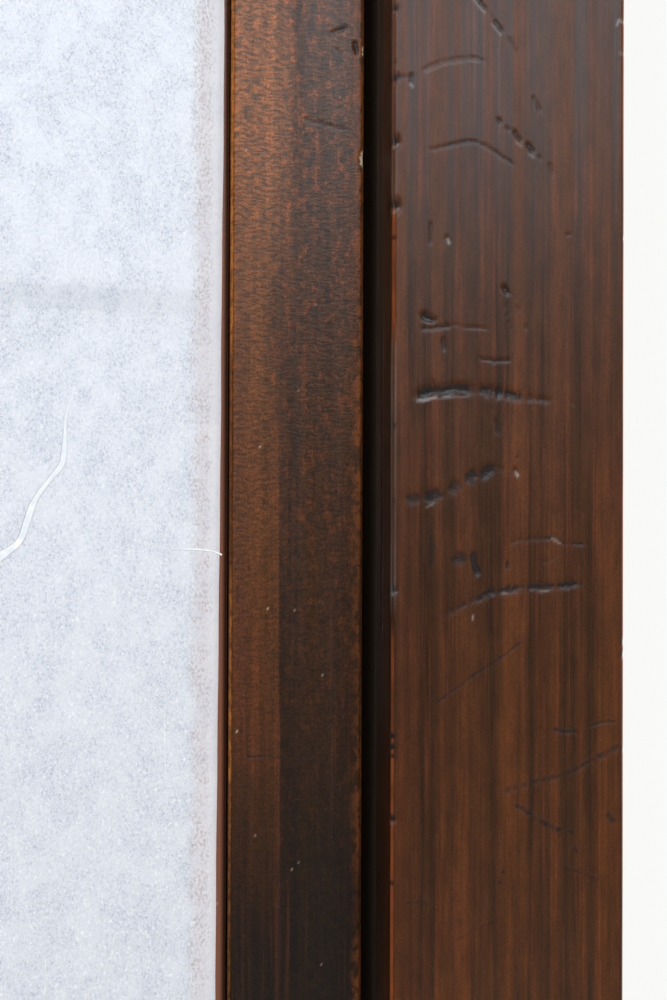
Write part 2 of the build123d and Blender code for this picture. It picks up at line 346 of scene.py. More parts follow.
def wornEdge(tree):
    # 1 on the flat chamfers of a squared piece, 0 on its faces
    x, y, z = faceNormal(tree)
    return ramp(abs(x * y) + abs(y * z) + abs(x * z), 0.3, 0.45)


def sideFace(tree):
    # 1 on faces that look along X
    return ramp(abs(faceNormal(tree)[0]), 0.6, 0.85)


def woodGrain(place, wood, axis):
    # streaks, hair lines, pores and broad clouds of one board, each 0 to 1
    bent = moved(place, grainNoise(place, axis, wood["warp"], output="Color"), wood["wander"])
    streaks = grainNoise(bent, axis, wood["streaks"], 3.0, 0.6)
    hairs = grainNoise(bent, axis, wood["hairs"], 3.0, 0.65)
    pores = grainNoise(bent, axis, wood["pores"], 2.0, 0.6)
    clouds = grainNoise(place, axis, wood["clouds"], 3.0, 0.55)
    return streaks, hairs, pores, clouds


def addMarks(place, wood, tone, height, firm):
    # dents, worn arrises with a painted highlight, and pale spots of bare wood, dust and painted highlights, as
    # the worn stretch carries them; firm breaks up the arrises
    marks = field(place.tree, "ShaderNodeAttribute", output="Color", attribute_name="wearAndGlints")
    dent, arris, bare = fields(place.tree, "ShaderNodeSeparateColor", {0: marks})
    tone = blend(arris * firm, tone, wood["arris"])
    pits = noise(place, (1100.0, 1100.0, 1300.0), 2.0, 0.6) - 0.5  # these give the stain a ragged rim
    tone = blend(ramp(pits * 0.7 + dent, 0.06, 0.85, 0.0, wood["stain"]), tone, wood["dent"])
    return blend(bare, tone, wood["bare"]), height + pits * dent * 2.0


def finishWood(wood, tone, streaks, height, paintedShade):
    rough = ramp(streaks, 0.3, 0.7, wood["rough"] - 0.03, wood["rough"] + 0.09)
    # no gloss where shade is painted
    gloss = (1.0 - paintedShade) * wood["gloss"]
    finishSurface({"Base Color": tone, "Roughness": rough, "Specular IOR Level": gloss,
                   "Specular Tint": wood["shine"]}, height, wood["relief"])


def woodMaterial(name, wood, axis="Z", marked=False):
    material, place = newMaterial(name)
    x, y, z = partsOf(place)
    streaks, hairs, pores, clouds = woodGrain(place, wood, axis)
    tone = blend(ramp(streaks, 0.24, 0.76), wood["dark"], wood["warm"])
    tone = blend(ramp(hairs, 0.48, 0.80, 0.0, wood["lines"]), tone, wood["line"])
    tone = blend(ramp(pores, 0.50, 0.80, 0.0, 0.28), tone, wood["pore"])
    blotches = grainNoise(place, axis, wood["patches"], 2.0, 0.6)
    tone = blend(1.0, tone, ramp(blotches, 0.3, 0.7, *wood["blotches"]), "MULTIPLY")
    tone = blend(ramp(clouds, 0.3, 0.7, 0.24, 0.0), tone, wood["dark"])
    fine = grainNoise(place, "Z", wood["fineGrain"], 1.0)
    tone = blend(1.0, tone, ramp(fine, 0.3, 0.7, *wood["fine"]), "MULTIPLY")
    height = hairs * 0.6 + pores * -0.5 + streaks
    breaks = grainNoise(place, axis, wood["breaks"], 3.0, 0.6)
    if marked:
        # darker towards its left side and below a height
        tone = blend(ramp(x, *wood["leftShade"]) * ramp(z, *wood["leftShadeTop"]), tone, wood["darkened"])
        tone, height = addMarks(place, wood, tone, height, ramp(breaks, 0.30, 0.60))
    else:
        tone = blend(wornEdge(place.tree) * ramp(breaks, 0.36, 0.62, 0.0, 0.8), tone, wood["arris"])
    # painted shade on the sides that face along X inside the channel
    inChannel = ramp(abs(y), *wood["channel"], 1.0, 0.0) * ramp(abs(x), *wood["innerSide"], 1.0, 0.0)
    paintedShade = sideFace(place.tree) * inChannel * float(axis == "Z")  # painted shade on the sides in the gap beside the panels, on upright pieces only
    finishWood(wood, blend(paintedShade * 0.9, tone, wood["paintedShade"]), streaks, height, paintedShade)
    return material


# Fine stretches of worn wood, let into copies of the CAD pieces

def openFront(source, zLow, zHigh, yBack):
    # a merged copy of a CAD mesh, without its front skin between two heights
    skin = bmesh.new()
    skin.from_mesh(source.data)
    bmesh.ops.remove_doubles(skin, verts=skin.verts, dist=1e-6)
    for at, normal in (((0, 0, zLow), (0, 0, 1)), ((0, 0, zHigh), (0, 0, 1)), ((0, yBack, 0), (0, 1, 0))):
        everything = skin.verts[:] + skin.edges[:] + skin.faces[:]
        bmesh.ops.bisect_plane(skin, geom=everything, dist=1e-7, plane_co=at, plane_no=normal)
    gone = []
    for face in skin.faces:
        middle = face.calc_center_median()
        if zLow < middle.z < zHigh and middle.y < yBack:
            gone.append(face)
    bmesh.ops.delete(skin, geom=gone, context="FACES")
    return skin


def openLoop(skin):
    # the vertices round the open part, from its lowest left corner, the lower side first
    edges = [e for e in skin.edges if len(e.link_faces) == 1]
    ends = {v for e in edges for v in e.verts}
    zLow, yBack = min(v.co.z for v in ends), max(v.co.y for v in ends)
    start = min((v for v in ends if v.co.z < zLow + 1e-6 and v.co.y > yBack - 1e-6), key=lambda v: v.co.x)
    loop, used = [start], set()
    while True:
        ways = [e for e in loop[-1].link_edges if len(e.link_faces) == 1 and e not in used]
        if not ways:
            break
        way = min(ways, key=lambda e: abs(e.other_vert(loop[-1]).co.z - zLow))
        used.add(way)
        loop.append(way.other_vert(loop[-1]))
    return loop[:-1]


def loopSides(loop):
    # the four sides of the open part: low, right, high and left, each from left to right or low to high
    zLow, zHigh = min(v.co.z for v in loop), max(v.co.z for v in loop)
    low = [v for v in loop if v.co.z < zLow + 1e-6]
    high = [v for v in loop if v.co.z > zHigh - 1e-6]
    first = loop.index(high[0])
    right = loop[loop.index(low[-1]):first + 1]
    left = loop[loop.index(high[-1]):] + [loop[0]]
    return low, right, high[::-1], left[::-1]


def zipSides(skin, coarse, fine, coarsePlaces, finePlaces):
    # triangles between two rows of vertices, in step with their places along the side
    i = j = 0
    while i < len(coarse) - 1 or j < len(fine) - 1:
        takeCoarse = j == len(fine) - 1
        if i < len(coarse) - 1 and not takeCoarse:
            takeCoarse = coarsePlaces[i + 1] <= finePlaces[j + 1]
        if takeCoarse:
            skin.faces.new((coarse[i], fine[j], coarse[i + 1]))
            i += 1
        else:
            skin.faces.new((coarse[i], fine[j], fine[j + 1]))
            j += 1


def sectionCorners(low):
    points = [Vector((v.co.x, v.co.y)) for v in low]
    kept = [points[0]]
    for before, here, after in zip(points, points[1:], points[2:]):
        if abs((here - before).normalized().cross((after - here).normalized())) > 1e-3:
            kept.append(here)
    return kept + [points[-1]]


def sectionColumns(corners, pitch, sidePitch):
    # places round the section with their outward directions; short arrises always get four steps
    places, outward, lengths, at = [], [], [], 0.0
    for a, b in zip(corners, corners[1:]):
        length, way = (b - a).length, (b - a).normalized()
        out = Vector((way.y, -way.x))
        step = pitch if abs(out.y) > 0.9 else sidePitch
        count = max(4, math.ceil(length / step))
        for k in range(count):
            places.append(a.lerp(b, k / count))
            outward.append(out if k else None)
            lengths.append(at + length * k / count)
        at += length
    for k in range(len(outward)):
        if outward[k] is None and k:
            before, after = outward[k - 1], outward[k + 1]
            outward[k] = (before + after).normalized()
    return places[1:], outward[1:], lengths[1:]


def wornPiece(name, source, settings, shape, material):
    # shape(x, y, z, outY) gives how far each fine point sinks, in metres, and its three marks
    zLow, zHigh, yBack = settings["low"], settings["high"], settings["back"]
    skin = openFront(source, zLow, zHigh, yBack)
    layer = skin.verts.layers.float_color.new("wearAndGlints")
    for vertex in skin.verts:
        vertex[layer] = (0, 0, 0, 1)  # a new layer starts out white
    low, right, high, left = loopSides(openLoop(skin))
    corners = sectionCorners(low)
    places, outward, lengths = sectionColumns(corners, settings["pitch"], settings["sidePitch"])
    rows = np.linspace(zLow, zHigh, round((zHigh - zLow) / settings["rowPitch"]) + 1)[1:-1]
    x, z = np.meshgrid([p.x for p in places], rows)
    y = np.tile([p.y for p in places], (len(rows), 1))
    outX, outY = (np.tile([getattr(o, axis) for o in outward], (len(rows), 1)) for axis in "xy")
    sink, marks = shape(x, y, z, outY)
    fade = np.clip(np.minimum(z - zLow, zHigh - z) / settings["fade"], 0, 1)
    fade[:, 0] = fade[:, -1] = fade[0] = fade[-1] = 0
    sink = sink * fade
    x, y = x - outX * sink, y - outY * sink
    grid = []
    for r in range(len(rows)):
        grid.append([skin.verts.new((x[r, c], y[r, c], z[r, c])) for c in range(len(places))])
        for c, vertex in enumerate(grid[-1]):
            vertex[layer] = (marks[0][r, c], marks[1][r, c], marks[2][r, c], 1.0)
    for lower, upper in zip(grid, grid[1:]):
        for c in range(len(places) - 1):
            face = skin.faces.new((lower[c], lower[c + 1], upper[c + 1], upper[c]))
            face.smooth = True
    for side, row in ((low, grid[0]), (high, grid[-1])):
        zipSides(skin, side, row, placesAlong([(v.co.x, v.co.y) for v in side]), lengths)
    for side, end in ((left, 0), (right, -1)):
        zipSides(skin, side, [line[end] for line in grid], [v.co.z for v in side], rows)
    bmesh.ops.recalc_face_normals(skin, faces=skin.faces)
    mesh = bpy.data.meshes.new(name)
    skin.to_mesh(mesh)
    skin.free()
    mesh.materials.clear()
    mesh.materials.append(material)
    print(name, "has", len(mesh.vertices), "vertices")
    return link(name, mesh)


def placesAlong(points):
    total, places = 0.0, [0.0]
    for a, b in zip(points, points[1:]):
        total += math.dist(a, b)
        places.append(total)
    return places


def smoothStep(value):
    value = np.clip(value, 0, 1)
    return value * value * (3 - 2 * value)


def uneven(x, z, sizeX, sizeZ, seed):
    # soft random hills, 0 to 1, about sizeX by sizeZ mm each
    count = 64  # hills before they repeat
    hills = np.random.default_rng(seed).random((count, count))
    a, b = x / mm / sizeX, z / mm / sizeZ
    i, j = np.floor(a).astype(int), np.floor(b).astype(int)
    u, v = smoothStep(a - i), smoothStep(b - j)
    corners = [[hills[(i + di) % count, (j + dj) % count] for di in (0, 1)] for dj in (0, 1)]
    low, high = (left * (1 - u) + right * u for left, right in corners)
    return low * (1 - v) + high * v


def strokeDistance(path, x, z):
    # distance from each point to a line of straight runs, and how far along it the nearest place is, 0 to 1
    total = sum(math.dist(a, b) for a, b in zip(path, path[1:]))
    best, along, done = np.full(x.shape, 1e9), np.zeros(x.shape), 0.0
    for (ax, az), (bx, bz) in zip(path, path[1:]):
        dx, dz = bx - ax, bz - az
        length = math.hypot(dx, dz)
        t = np.clip(((x - ax) * dx + (z - az) * dz) / length ** 2, 0, 1)
        away = np.hypot(x - ax - t * dx, z - az - t * dz)
        nearer = away < best
        best = np.where(nearer, away, best)
        along = np.where(nearer, (done + t * length) / total, along)
        done += length
    return best, along


dentLook = {  # what all dents and scratches share
    "yearLines": (2.2, 9.0),  # mm, breadth and length of the hard year lines that gave less
    "hills": (1.9, 2.1), "smallHills": (0.9, 0.9),  # mm, the same for the unevenness of a rim
    "narrowest": 0.55, "ragged": 0.9,  # shares of the width: the least of it, and what the hills add
    "spacing": 0.35,  # how unevenly the bites of a row follow each other, in bites
    "gap": 0.16, "between": 0.85,  # half the wood left between two bites, in bites, and how far it rises
    "bites": (0.45, 1.0),  # the least and the most depth of a bite, as shares
}


def strokeDepth(stroke, planeY, x, z):
    # one dent or scratch, 1 in its middle line and 0 at its rim, gone at its ends
    path = [fromPhoto(px, py, planeY) for px, py in stroke["path"]]
    away, along = strokeDistance([(p.x, p.z) for p in path], x, z)
    seed = int(abs(stroke["path"][0][0] * 7 + stroke["path"][0][1]))
    big, small = uneven(x, z, *dentLook["hills"], seed), uneven(x, z, *dentLook["smallHills"], seed + 2)
    wobble = dentLook["narrowest"] + dentLook["ragged"] * (0.5 * big + 0.5 * small)
    profile = smoothStep(1.15 - away / (stroke["width"] * mm / 2 * wobble))
    ends = smoothStep(np.minimum(along, 1 - along) / stroke["taper"] + stroke["blunt"])
    ridges = smoothStep((uneven(x, z, *dentLook["yearLines"], seed + 1) - 0.5) / 0.3)
    depth = profile * ends * (1 - stroke["broken"] * ridges)
    cells = stroke["cells"]
    if cells:  # a row of short bites, some of them shallower
        beat = along * cells + dentLook["spacing"] * np.sin(along * cells * 2.1 + seed)
        bite = np.floor(beat).astype(int)
        gap = smoothStep(1 - (0.5 - np.abs(beat - bite - 0.5)) / dentLook["gap"])
        firm = np.random.default_rng(seed).uniform(*dentLook["bites"], 64)[bite % 64]
        depth = depth * (1 - dentLook["between"] * gap) * firm
    return depth


arrisColumn = 390  # of the photo, near the jamb's left arris: rows are turned into heights there


def alongRows(rows, y, z):
    # values given at rows of the photo, read off at heights on the plane Y = y
    heights = [fromPhoto(arrisColumn, py, y).z for py, _ in rows]
    return np.interp(z, heights[::-1], [value for _, value in rows][::-1])


def mark(width, depth, dark, *path, taper=0.12, blunt=0.25, broken=0.0, cells=0):
    # a dent or scratch: width and depth in mm, how dark its stain is, and its path in photo pixels; taper and
    # blunt form the ends, broken is how far year lines stand up in it, and cells counts the bites of a row
    return {"width": width, "depth": depth, "dark": dark, "path": path,
            "taper": taper, "blunt": blunt, "broken": broken, "cells": cells}


def pressStrokes(strokes, planeY, x, z, front):
    # how far all the dents of a face sink it, and how much they stain it
    sink, dark = np.zeros(x.shape), np.zeros(x.shape)
    for one in strokes.values():
        part = strokeDepth(one, planeY, x, z) * front
        sink = np.maximum(sink, part * one["depth"] * mm)
        dark = np.maximum(dark, np.minimum(1, part * 1.6) * one["dark"])
    return sink, dark


arrisWaves = ((17.0, 0.65), (3.1, 0.35))  # mm along an arris, and the share in its wear
arrisReach = 1.3  # mm from its corner that are rubbed


def arrisWave(z, seed):
    # uneven wear along an arris, 0 to 1
    wear = np.zeros(z.shape)
    for k, (size, share) in enumerate(arrisWaves):
        wear = wear + share * uneven(z * 0, z, 1.0, size, seed + k)
    return wear


def rubbedArris(fromEdge, z, seed, most):
    return smoothStep(1 - fromEdge / (arrisReach * mm)) * arrisWave(z, seed) * most


# Right jamb, with the dents that the photo shows

jambStretch = {
    "low": 1.154, "high": 1.432, "back": -0.0300, "fade": 0.006,
    "pitch": 0.00050, "sidePitch": 0.0012, "rowPitch": 0.00055,
    "arrisWear": 0.00012,  # how much the arrises are rubbed down, at most
    "left": 393, "right": 627,  # the arrises' columns in the photo
    "line": (0.60, 0.14), "paleLine": (0.82, 0.22),  # mm from the corner to a worn line with a painted highlight, and its softness
}

jambStrokes = {
    "topSlash": mark(1.2, 0.28, 0.8, (472, -8), (479, 1), (487, 10)),
    "topSlashMiddle": mark(0.7, 0.12, 0.4, (486, 9), (495, 21)),
    "topSlashLow": mark(1.2, 0.28, 0.85, (494, 20), (503, 32)),
    "topSlashEnd": mark(0.9, 0.18, 0.55, (509, 38), (518, 53)),
    "slashOne": mark(1.1, 0.25, 0.95, (498, 118), (501, 124)),
    "slashTwo": mark(0.9, 0.2, 0.7, (506, 127), (509, 131)),
    "slashThree": mark(1.5, 0.3, 0.85, (514, 130), (521, 142)),
    "slashFour": mark(1.6, 0.32, 0.9, (527, 143), (533, 153)),
    "slashFive": mark(0.9, 0.2, 0.6, (538, 156), (541, 160)),
    "shortSlash": mark(0.9, 0.2, 0.6, (533, 96), (541, 112)),
    "slashTail": mark(1.0, 0.15, 0.5, (550, 163), (554, 176)),
    "upperArc": mark(0.8, 0.13, 0.5, (420, 71), (430, 66), (440, 62), (460, 58), (476, 58), (488, 63)),
    "lowerArc": mark(1.0, 0.15, 0.6, (428, 150), (442, 147), (455, 144), (466, 142), (475, 142),
                     (484, 145), (492, 150), (502, 157), (516, 166)),
    "edgePair": mark(1.7, 0.22, 0.7, (394, 75), (402, 77), (415, 76), broken=0.5),
    "edgePairDrop": mark(1.2, 0.2, 0.6, (411, 74), (412, 84)),
    "crack": mark(0.7, 0.25, 0.8, (430, 221), (431, 232), (430, 245)),
    "whitePit": mark(0.9, 0.25, 0.3, (447, 236), (449, 243)),
    "rightPit": mark(0.9, 0.2, 0.4, (566, 234), (571, 236)),
    "pitLeft": mark(2.4, 0.42, 0.75, (421, 314), (427, 318), (436, 321)),
    "pitLeftLow": mark(1.6, 0.23, 0.7, (420, 328), (430, 328), (452, 326), broken=0.6, cells=3),
    "pitLine": mark(0.7, 0.12, 0.4, (452, 325), (470, 327), (488, 329)),
    "pitDrop": mark(1.3, 0.2, 0.6, (442, 337), (444, 351)),
    "middlePit": mark(1.6, 0.35, 0.7, (503, 285), (508, 295)),
    "middleScratch": mark(0.5, 0.08, 0.0, (504, 298), (507, 314), (511, 331)),
    "middleTick": mark(0.9, 0.15, 0.4, (518, 306), (519, 311)),
    "lowTick": mark(0.9, 0.15, 0.4, (525, 325), (526, 330)),
    "darkLine": mark(1.0, 0.18, 0.7, (479, 358), (494, 361), (511, 360), broken=0.4),
    "mainGouge": mark(3.6, 0.62, 0.75, (417, 396), (428, 393), (439, 391), (455, 389), (471, 391),
                      broken=0.25),
    "mainRow": mark(3.6, 0.38, 0.8, (478, 389), (494, 392), (509, 394), (524, 397), broken=0.35, cells=5),
    "mainRowEnd": mark(2.4, 0.28, 0.5, (526, 398), (538, 399), (551, 401), broken=0.3, cells=3),
    "crossCrack": mark(0.7, 0.4, 1.0, (433, 379), (436, 388), (439, 397)),
    "rowTick": mark(0.9, 0.15, 0.3, (570, 400), (573, 405)),
    "smudge": mark(2.6, 0.1, 0.5, (496, 420), (498, 431), blunt=0.9),
    "patchOne": mark(4.2, 0.15, 0.6, (411, 499), (415, 499), blunt=0.9),
    "patchTwo": mark(4.5, 0.2, 0.66, (431, 498), (437, 494), blunt=0.9),
    "patchThree": mark(3.9, 0.17, 0.58, (452, 489), (456, 485), blunt=0.9),
    "patchFour": mark(4.0, 0.2, 0.68, (470, 478), (473, 475), blunt=0.9),
    "patchFive": mark(4.3, 0.24, 0.72, (486, 473), (489, 470), blunt=0.9),
    "patchSix": mark(2.8, 0.1, 0.4, (501, 470), (504, 467)),
    "glintPit": mark(1.7, 0.34, 0.5, (514, 467), (518, 474)),
    "glintTop": mark(1.2, 0.12, 0.6, (516, 455), (517, 459)),
    "nickRight": mark(0.9, 0.2, 0.3, (579, 507), (584, 516)),
    "faintRow": mark(1.4, 0.22, 0.6, (508, 545), (512, 541), (537, 538), (553, 538), (563, 543),
                     (588, 544), broken=0.3, cells=8),
    "faintSlip": mark(0.9, 0.12, 0.3, (541, 562), (552, 560), (558, 554)),
    "squarePatch": mark(4.4, 0.14, 0.6, (457, 558), (461, 558), blunt=0.9),
    "leftStain": mark(2.2, 0.05, 0.4, (432, 537), (432, 550), (431, 565), blunt=0.9),
    "blackPit": mark(2.2, 0.3, 0.95, (473, 554), (474, 562), (477, 573), blunt=0.9),
    "smallPit": mark(1.1, 0.2, 0.7, (507, 560), (507, 569)),
    "curvedRow": mark(2.9, 0.34, 0.75, (443, 615), (460, 606), (478, 598), (490, 592), (506, 590),
                      (522, 587), (540, 587), (556, 586), (574, 584), (588, 582), broken=0.35, taper=0.2,
                      cells=15),
    "longHair": mark(1.0, 0.13, 0.55, (432, 706), (470, 678), (500, 658), (526, 638), broken=0.5),
    "dropStain": mark(3.0, 0.06, 0.34, (527, 654), (527, 666), (526, 679), blunt=0.9),
    "stroke": mark(1.5, 0.2, 0.6, (553, 729), (565, 732), (577, 731)),
    "strokeRight": mark(1.3, 0.18, 0.5, (588, 726), (602, 722), (617, 721)),
    "longChain": mark(2.4, 0.27, 0.55, (491, 795), (512, 789), (537, 781), (556, 777), (573, 771),
                      (592, 760), (612, 750), (624, 743), broken=0.3, taper=0.15, cells=12),
    "lowerChain": mark(2.2, 0.28, 0.6, (513, 803), (530, 814), (546, 824), (562, 832), broken=0.2,
                       cells=5),
    "chainPit": mark(1.4, 0.2, 0.5, (568, 830), (573, 833)),
    "chainLow": mark(1.3, 0.18, 0.5, (573, 846), (578, 853)),
    "rightSpot": mark(2.2, 0.22, 0.6, (608, 815), (612, 820), blunt=0.9),
    "lowArc": mark(0.9, 0.14, 0.4, (562, 866), (580, 872), (601, 881)),
    "dotOne": mark(1.1, 0.25, 0.9, (503, 871), (503, 874)),
    "dotTwo": mark(0.9, 0.2, 0.8, (501, 879), (499, 885)),
    "leftLine": mark(0.9, 0.16, 0.5, (404, 903), (418, 902), (431, 904)),
    "leftSpot": mark(1.3, 0.2, 0.3, (431, 907), (433, 911)),
    "lowSpot": mark(1.1, 0.16, 0.5, (460, 919), (462, 924)),
    "lowHair": mark(0.7, 0.1, 0.4, (455, 941), (478, 929), (502, 916)),
}

jambGlints = {  # painted highlights on the dents' lower lips: width in mm, strength, path in photo pixels
    "slash": (0.9, 0.3, (470, -6), (477, 4), (485, 13)),
    "slashLow": (0.9, 0.34, (492, 24), (501, 35)),
    "slashThree": (0.9, 0.26, (516, 142), (522, 147)),
    "slashFour": (0.9, 0.26, (529, 154), (534, 158)),
    "arc": (0.8, 0.14, (425, 73), (445, 65), (465, 62), (480, 62)),
    "edge": (1.1, 0.4, (410, 84), (413, 87)),
    "corner": (1.1, 0.35, (395, 11), (396, 16)),
    "whitePit": (1.1, 0.5, (448, 239), (449, 243)),
    "gouge": (1.1, 0.42, (417, 401), (424, 400), (437, 397)),
    "gougeRight": (0.9, 0.24, (443, 397), (450, 396)),
    "pit": (1.2, 0.6, (516, 472), (518, 476)),
    "patch": (0.9, 0.24, (427, 507), (434, 503)),
    "faint": (0.9, 0.28, (552, 538), (560, 543)),
    "curvedOne": (0.9, 0.3, (503, 593), (507, 593)),
    "curvedTwo": (0.9, 0.28, (540, 592), (548, 591)),
    "speck": (0.9, 0.5, (473, 616), (473, 619)),
    "chip": (1.1, 0.6, (617, 25), (619, 20), (622, 22)),
    "chipLow": (1.1, 0.24, (620, 53), (624, 54)),
}

jambNicks = {  # bites out of the arrises: photo row, radius and depth in mm, and the strength of the painted highlight on the lower lip
    "left": [(8, 1.2, 0.5, 0.2), (62, 0.8, 0.3, 0.1), (78, 1.5, 0.5, 0.1), (141, 1.7, 0.75, 0.35),
             (205, 1.9, 0.8, 0.25), (238, 0.9, 0.3, 0.0), (426, 0.9, 0.4, 0.0), (502, 0.8, 0.3, 0.0),
             (590, 1.4, 0.5, 0.35), (737, 1.2, 0.4, 0.0), (748, 1.3, 0.4, 0.0), (757, 0.9, 0.3, 0.0),
             (820, 1.4, 0.45, 0.1), (884, 0.9, 0.3, 0.0)],
    "right": [(21, 0.9, 0.2, 0.1), (53, 0.8, 0.2, 0.1), (238, 0.8, 0.3, 0.0), (642, 1.2, 0.18, 0.0),
              (655, 1.2, 0.2, 0.0), (750, 1.0, 0.15, 0.0)],
}

jambArris = {  # how strongly the worn arris lines with their painted highlight show, at rows of the photo
    "left": [(0, 0.1), (190, 0.15), (210, 0.75), (320, 0.75), (345, 0.1), (600, 0.1), (640, 0.75),
             (760, 0.75), (790, 0.3), (830, 0.75), (1000, 0.75)],
    "right": [(0, 0.35), (1000, 0.6)],
    "pale": [(0, 0.20), (190, 0.20), (215, 0.0), (320, 0.0), (350, 0.22), (590, 0.22), (620, 0.0)],
}


def lineAt(fromEdge, middle, half):
    # a soft line along an arris, middle mm from its corner
    return smoothStep(1.3 - np.abs(fromEdge / mm - middle) / half)


def jambShape(x, y, z, outY):
    low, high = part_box("right_jamb")
    arris, bare = np.zeros(x.shape), np.zeros(x.shape)
    front = outY < -0.9
    sink, dark = pressStrokes(jambStrokes, low.y, x, z, front)
    # painted highlights on the lower lips of the dents, in a pale colour
    for width, strength, *path in jambGlints.values():
        part = strokeDepth(mark(width, 0.0, 0.0, *path, blunt=0.7), low.y, x, z) * front
        bare = np.maximum(bare, part * strength * 0.8)
    for side, edgeX in (("left", low.x), ("right", high.x)):
        fromEdge = np.hypot(x - edgeX, y - low.y)
        sink = sink + rubbedArris(fromEdge, z, 21, jambStretch["arrisWear"])
        # the arris lines: worn wood with a painted highlight
        strength = alongRows(jambArris[side], low.y, z) * (0.4 + 0.6 * arrisWave(z, 31))
        arris = np.maximum(arris, lineAt(fromEdge, *jambStretch["line"]) * strength)
        if side == "left":
            # a paler painted highlight along the left arris
            strength = alongRows(jambArris["pale"], low.y, z) * (0.3 + 0.7 * arrisWave(z, 37))
            bare = np.maximum(bare, lineAt(fromEdge, *jambStretch["paleLine"]) * strength)
        for py, radius, depth, pale in jambNicks[side]:
            at = fromPhoto(jambStretch[side], py, low.y).z
            # painted shade inside, above its lowest part, and a painted highlight on the lower lip
            away = np.sqrt(fromEdge ** 2 + (z - at) ** 2) / (radius * mm)
            bite = smoothStep(1.1 - away / 1.5)
            sink = np.maximum(sink, bite * depth * mm)
            dark = np.maximum(dark, bite * 0.9 * (z > at - 0.4 * mm))
            lip = smoothStep(1 - np.abs(away - 0.9) / 0.4) * (z < at - 0.3 * mm)
            bare = np.maximum(bare, pale * lip)
    return sink, (dark, arris * (1 - dark), bare)


# Right stile of the front panel, the one in the photo

stileWood = {
    **jambWood, "shade": colour(29, 20, 12), "light": colour(122, 77, 42), "red": colour(100, 52, 29),
    "pore": colour(22, 15, 11), "arris": colour(236, 146, 62), "bare": colour(226, 204, 172),
    "ledge": colour(134, 84, 62), "dark": colour(36, 25, 16), "warm": colour(88, 50, 27),
    "line": colour(126, 70, 32), "paintedShade": colour(16, 11, 9),
    # factors on the tone: for the ripples, the blots, the finest grain and the long bands
    "crest": (1.70, 1.44, 1.15, 1.0), "trough": (0.40, 0.50, 0.72, 1.0),
    "ember": (2.3, 1.6, 1.1, 1.0), "slate": (0.50, 0.64, 0.86, 1.0),
    "fineDark": (0.72, 0.78, 0.88, 1.0), "fineLight": (1.28, 1.2, 1.06, 1.0),
    "bandDark": (0.74, 0.80, 0.94, 1.0), "bandLight": (1.24, 1.16, 1.0, 1.0),
    # the size of more patterns, per metre across the grain and along it
    "drift": (70.0, 22.0), "grit": (2900.0, 2200.0), "bands": (240.0, 7.0), "blots": (520.0, 330.0),
    "slates": (380.0, 300.0), "flakes": (900.0, 420.0),
    "curl": 1250.0,  # ripples to a metre of height, about twice over
    "ripples": 400.0,  # the same across, so that each column has its own beat
    "chevron": 0.0024, "tilt": 0.16,  # width and slope of the columns that the ripples lean in
    "strip": 0.0224, "face": 0.0360,  # where the redder strip and the ledge start, from the outer edge
    "handHeight": 0.93, "handReach": (0.25, 0.47),  # metres, and metres above and below it
    "redEnd": (0.294, 0.299),
    "rim": (0.0008, 0.0042, 0.75, 0.0),  # metres from the outer edge, and how much paler it is there
    "stepShade": (0.0002, 0.0017, 0.95, 0.0),  # painted shade: the same from the step of the ledge
}

stileStretch = {
    "low": 1.154, "high": 1.432, "back": -0.0276, "fade": 0.006,
    "pitch": 0.00045, "sidePitch": 0.0012, "rowPitch": 0.00055, "arrisWear": 0.00010,
    "stepX": 0.8046,  # where the face ends, above the ledge
    "right": 363,  # the other arris's column in the photo
    "shine": [(0, 0.85), (330, 0.7), (380, 0.25), (560, 0.25), (600, 0.55), (740, 0.6), (850, 0.45),
              (1000, 0.35)],
    "rightShine": 0.35,  # the other arris shines this much of it
}

stileStrokes = {
    "scratch": mark(0.8, 0.16, 0.7, (303, 119), (320, 123), (334, 127), (347, 129)),
    "topPit": mark(1.5, 0.35, 0.8, (354, 42), (358, 54)),
    "topStain": mark(1.6, 0.2, 0.6, (329, 34), (338, 31), (349, 27)),
    "topScratch": mark(0.9, 0.16, 0.6, (336, 48), (341, 55)),
    "crackLeft": mark(0.8, 0.14, 0.7, (245, 757), (262, 756), (284, 757)),
    "crackRight": mark(0.6, 0.08, 0.5, (296, 757), (318, 755), (334, 757)),
}

stileChips = {  # light wood showing where the right arris is chipped: photo rows, size in mm
    "upper": {"rows": (147, 172), "width": 1.7, "depth": 0.45},
    "top": {"rows": (42, 60), "width": 1.0, "depth": 0.35},
}

stileDust = {  # pale specks, in photo pixels
    "specks": [(268, 87), (300, 258), (316, 305), (293, 343), (299, 391), (260, 447), (244, 578),
               (322, 603), (268, 609), (295, 610), (292, 582), (309, 564), (323, 675), (300, 691),
               (234, 705), (241, 702), (237, 731), (292, 762), (291, 822), (255, 835), (298, 863),
               (292, 870), (279, 906), (287, 924), (321, 964), (319, 980), (246, 150)],
    "crumbs": [(222, 70), (222, 226), (219, 560), (216, 838), (217, 851), (216, 862), (216, 884),
               (217, 903), (216, 918)],
    "size": 0.17, "rise": 0.04,  # mm
    "ledgeY": -0.0285,  # the crumbs lie on the ledge
}


